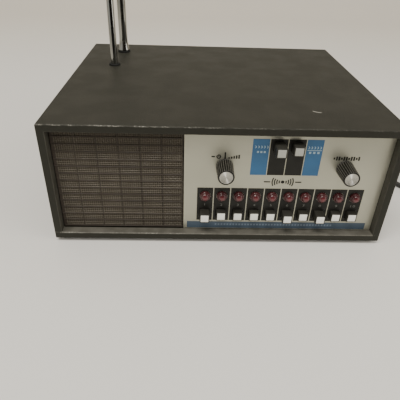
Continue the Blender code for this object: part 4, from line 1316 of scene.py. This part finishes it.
def plug_blades(looks):
    """Two flat blades, each with a round hole near its end."""
    blades = bmesh.new()
    holes = bmesh.new()
    half_thick, half_tall = 0.75 * MM, 3.15 * MM
    for side in (-1, 1):
        x = PLUG_X + side * 6.35 * MM
        near = (x - half_thick, HEAD_END - 2 * MM, PLUG_Z - half_tall)
        add_soft_block(blades, near, (x + half_thick, PLUG_HIGH.y, PLUG_Z + half_tall), 0.4 * MM)
        drill = bmesh.new()
        add_turned(drill, band(0, 1.6 * MM, -2 * MM, 2 * MM), "Z", (0, 0, 0), sides=24)
        turn = Matrix.Rotation(math.pi / 2, 4, "Y")
        turn = Matrix.Translation((x, PLUG_HIGH.y - 4 * MM, PLUG_Z)) @ turn
        bmesh.ops.transform(drill, matrix=turn, verts=drill.verts)
        holes.from_mesh(mesh_from("hole", drill))
    cut(new_piece("plug_blades", blades, looks["brass"], slot="chrome"), holes)


def rounded_box_loop(half_x, half_z, radius, steps=5):
    """Loop of (x, z) round a rectangle with rounded corners."""
    loop = []
    for turn, (x, z) in enumerate(((1, 1), (-1, 1), (-1, -1), (1, -1))):
        for step in range(steps + 1):
            angle = math.radians(90 * (turn + step / steps))
            out = x * (half_x - radius) + radius * math.cos(angle)
            loop.append((out, z * (half_z - radius) + radius * math.sin(angle)))
    return loop


def cord_tie(looks):
    """Soft strap round all the turns of the coil."""
    bm = bmesh.new()
    angle = math.radians(110)
    outward = Vector((math.cos(angle), math.sin(angle), 0))
    along = Vector((-math.sin(angle), math.cos(angle), 0))
    inner = COIL_OUTER - (COIL_COLUMNS - 1) * 2 * CORD_RADIUS - CORD_RADIUS
    outer = COIL_OUTER + CORD_RADIUS
    thick, width = 0.6 * MM, 5 * MM
    low, high = thick + 0.05 * MM, COIL_HIGH.z + 0.2 * MM
    centre = COIL_CENTRE.copy()
    centre.z = (low + high) / 2
    half_x, half_z = (outer - inner) / 2 + 0.3 * MM, (high - low) / 2
    loops = []
    for grow, side in ((0, -1), (0, 1), (thick, 1), (thick, -1)):
        loop = rounded_box_loop(half_x + grow, half_z + grow, 3 * MM + grow)
        base = centre + outward * (inner + outer) / 2 + along * side * width / 2
        loops.append([bm.verts.new(base + outward * out + Vector((0, 0, rise))) for out, rise in loop])
    bridge(bm, loops, closed=True)
    new_piece("cord_tie", bm, looks["tie"], slot="rubber")


# --- stage ---------------------------------------------------------------------------------------


def stage():
    """Pale floor that sweeps up into a plain backdrop well behind the object."""
    look = Look("pale_floor", (0.7, 0.68, 0.635), 0.55)
    tone = look.mix(look.noise(300 * MM, 3), (0.71, 0.69, 0.64), (0.75, 0.73, 0.68))
    look.colour(look.mix(look.ease(look.axis("Y"), 0.1, 1.0), tone, (0.70, 0.65, 0.56)))
    bm = bmesh.new()
    near, far, bend, high = -6.0, 1.3, 0.5, 2.2
    profile = [(near, 0.0), (far - bend, 0.0)]
    profile += [(far - bend + bend * math.sin(a), bend - bend * math.cos(a)) for a in (0.3, 0.6, 0.9, 1.2)]
    profile += [(far, bend), (far, high)]
    rows = [[bm.verts.new((x, y, z)) for y, z in profile] for x in (-6, 6)]
    for step in range(len(profile) - 1):
        bm.faces.new((rows[0][step], rows[1][step], rows[1][step + 1], rows[0][step + 1]))
    mesh = mesh_from("floor", bm)
    mesh.materials.append(look.material)
    mesh.shade_smooth()
    floor = link("floor", mesh)


def add_light(name, place, aim, size, power, colour=(1.0, 0.97, 0.92)):
    data = bpy.data.lights.new(name, "AREA")
    data.shape = "RECTANGLE"
    data.size, data.size_y = size
    data.energy = power
    data.color = colour
    light = link(name, data)
    light.location = place
    light.rotation_euler = (Vector(aim) - Vector(place)).to_track_quat("-Z", "Y").to_euler()
    light.visible_camera = False


def dark_card():
    """Black studio flag behind the camera that shows only in gloss, as a dark room would."""
    bm = bmesh.new()
    corners = ((-0.3, -0.37, 0.0), (0.8, -0.37, 0.0), (0.8, -0.43, 0.6), (-0.3, -0.43, 0.6))
    bm.faces.new([bm.verts.new(corner) for corner in corners])
    mesh = mesh_from("dark_card", bm)
    mesh.materials.append(Look("dark_card", (0.01, 0.01, 0.01), 1.0).material)
    card = link("dark_card", mesh)
    for ray in ("camera", "diffuse", "shadow", "transmission"):
        setattr(card, f"visible_{ray}", False)


def lights():
    """A warm pale room, one soft lamp overhead and a weak one at the right."""
    world = bpy.data.worlds.new("room")
    bpy.context.scene.world = world
    world.use_nodes = True
    backdrop = world.node_tree.nodes["Background"]
    backdrop.inputs["Color"].default_value = (0.95, 0.93, 0.89, 1.0)
    backdrop.inputs["Strength"].default_value = 0.8
    add_light("ceiling", (-0.3, -0.65, 1.6), (-0.05, -0.1, 0.0), (0.9, 0.3), 22)
    add_light("side_fill", (1.1, -0.6, 0.5), (0.0, -0.1, 0.05), (0.8, 0.8), 6)


def main():
    set_camera()
    looks = make_looks()
    dress_nodes(looks)
    plug_body(looks)
    plug_blades(looks)
    cord_tie(looks)
    power_cord(looks)
    strain_relief(looks)
    cabinet(looks)
    feet(looks)
    grille_ribs(looks)
    wire_mesh(looks)
    panel_prints(looks)
    channel_numbers(looks)
    control_marks(looks)
    bar_marks(looks)
    stripe_marks(looks)
    emblem(looks)
    lamp_lenses(looks)
    for node in BUTTONS:
        push_button(node, looks)
    for name in ("volume", "squelch"):
        knob_grip(name)
        knob_disc(name)
    for name in ANTENNAS:
        grommet(name, looks)
        antenna(name, looks)
    rear_screws(looks)
    jack_details(looks)
    stage()
    dark_card()
    lights()


main()
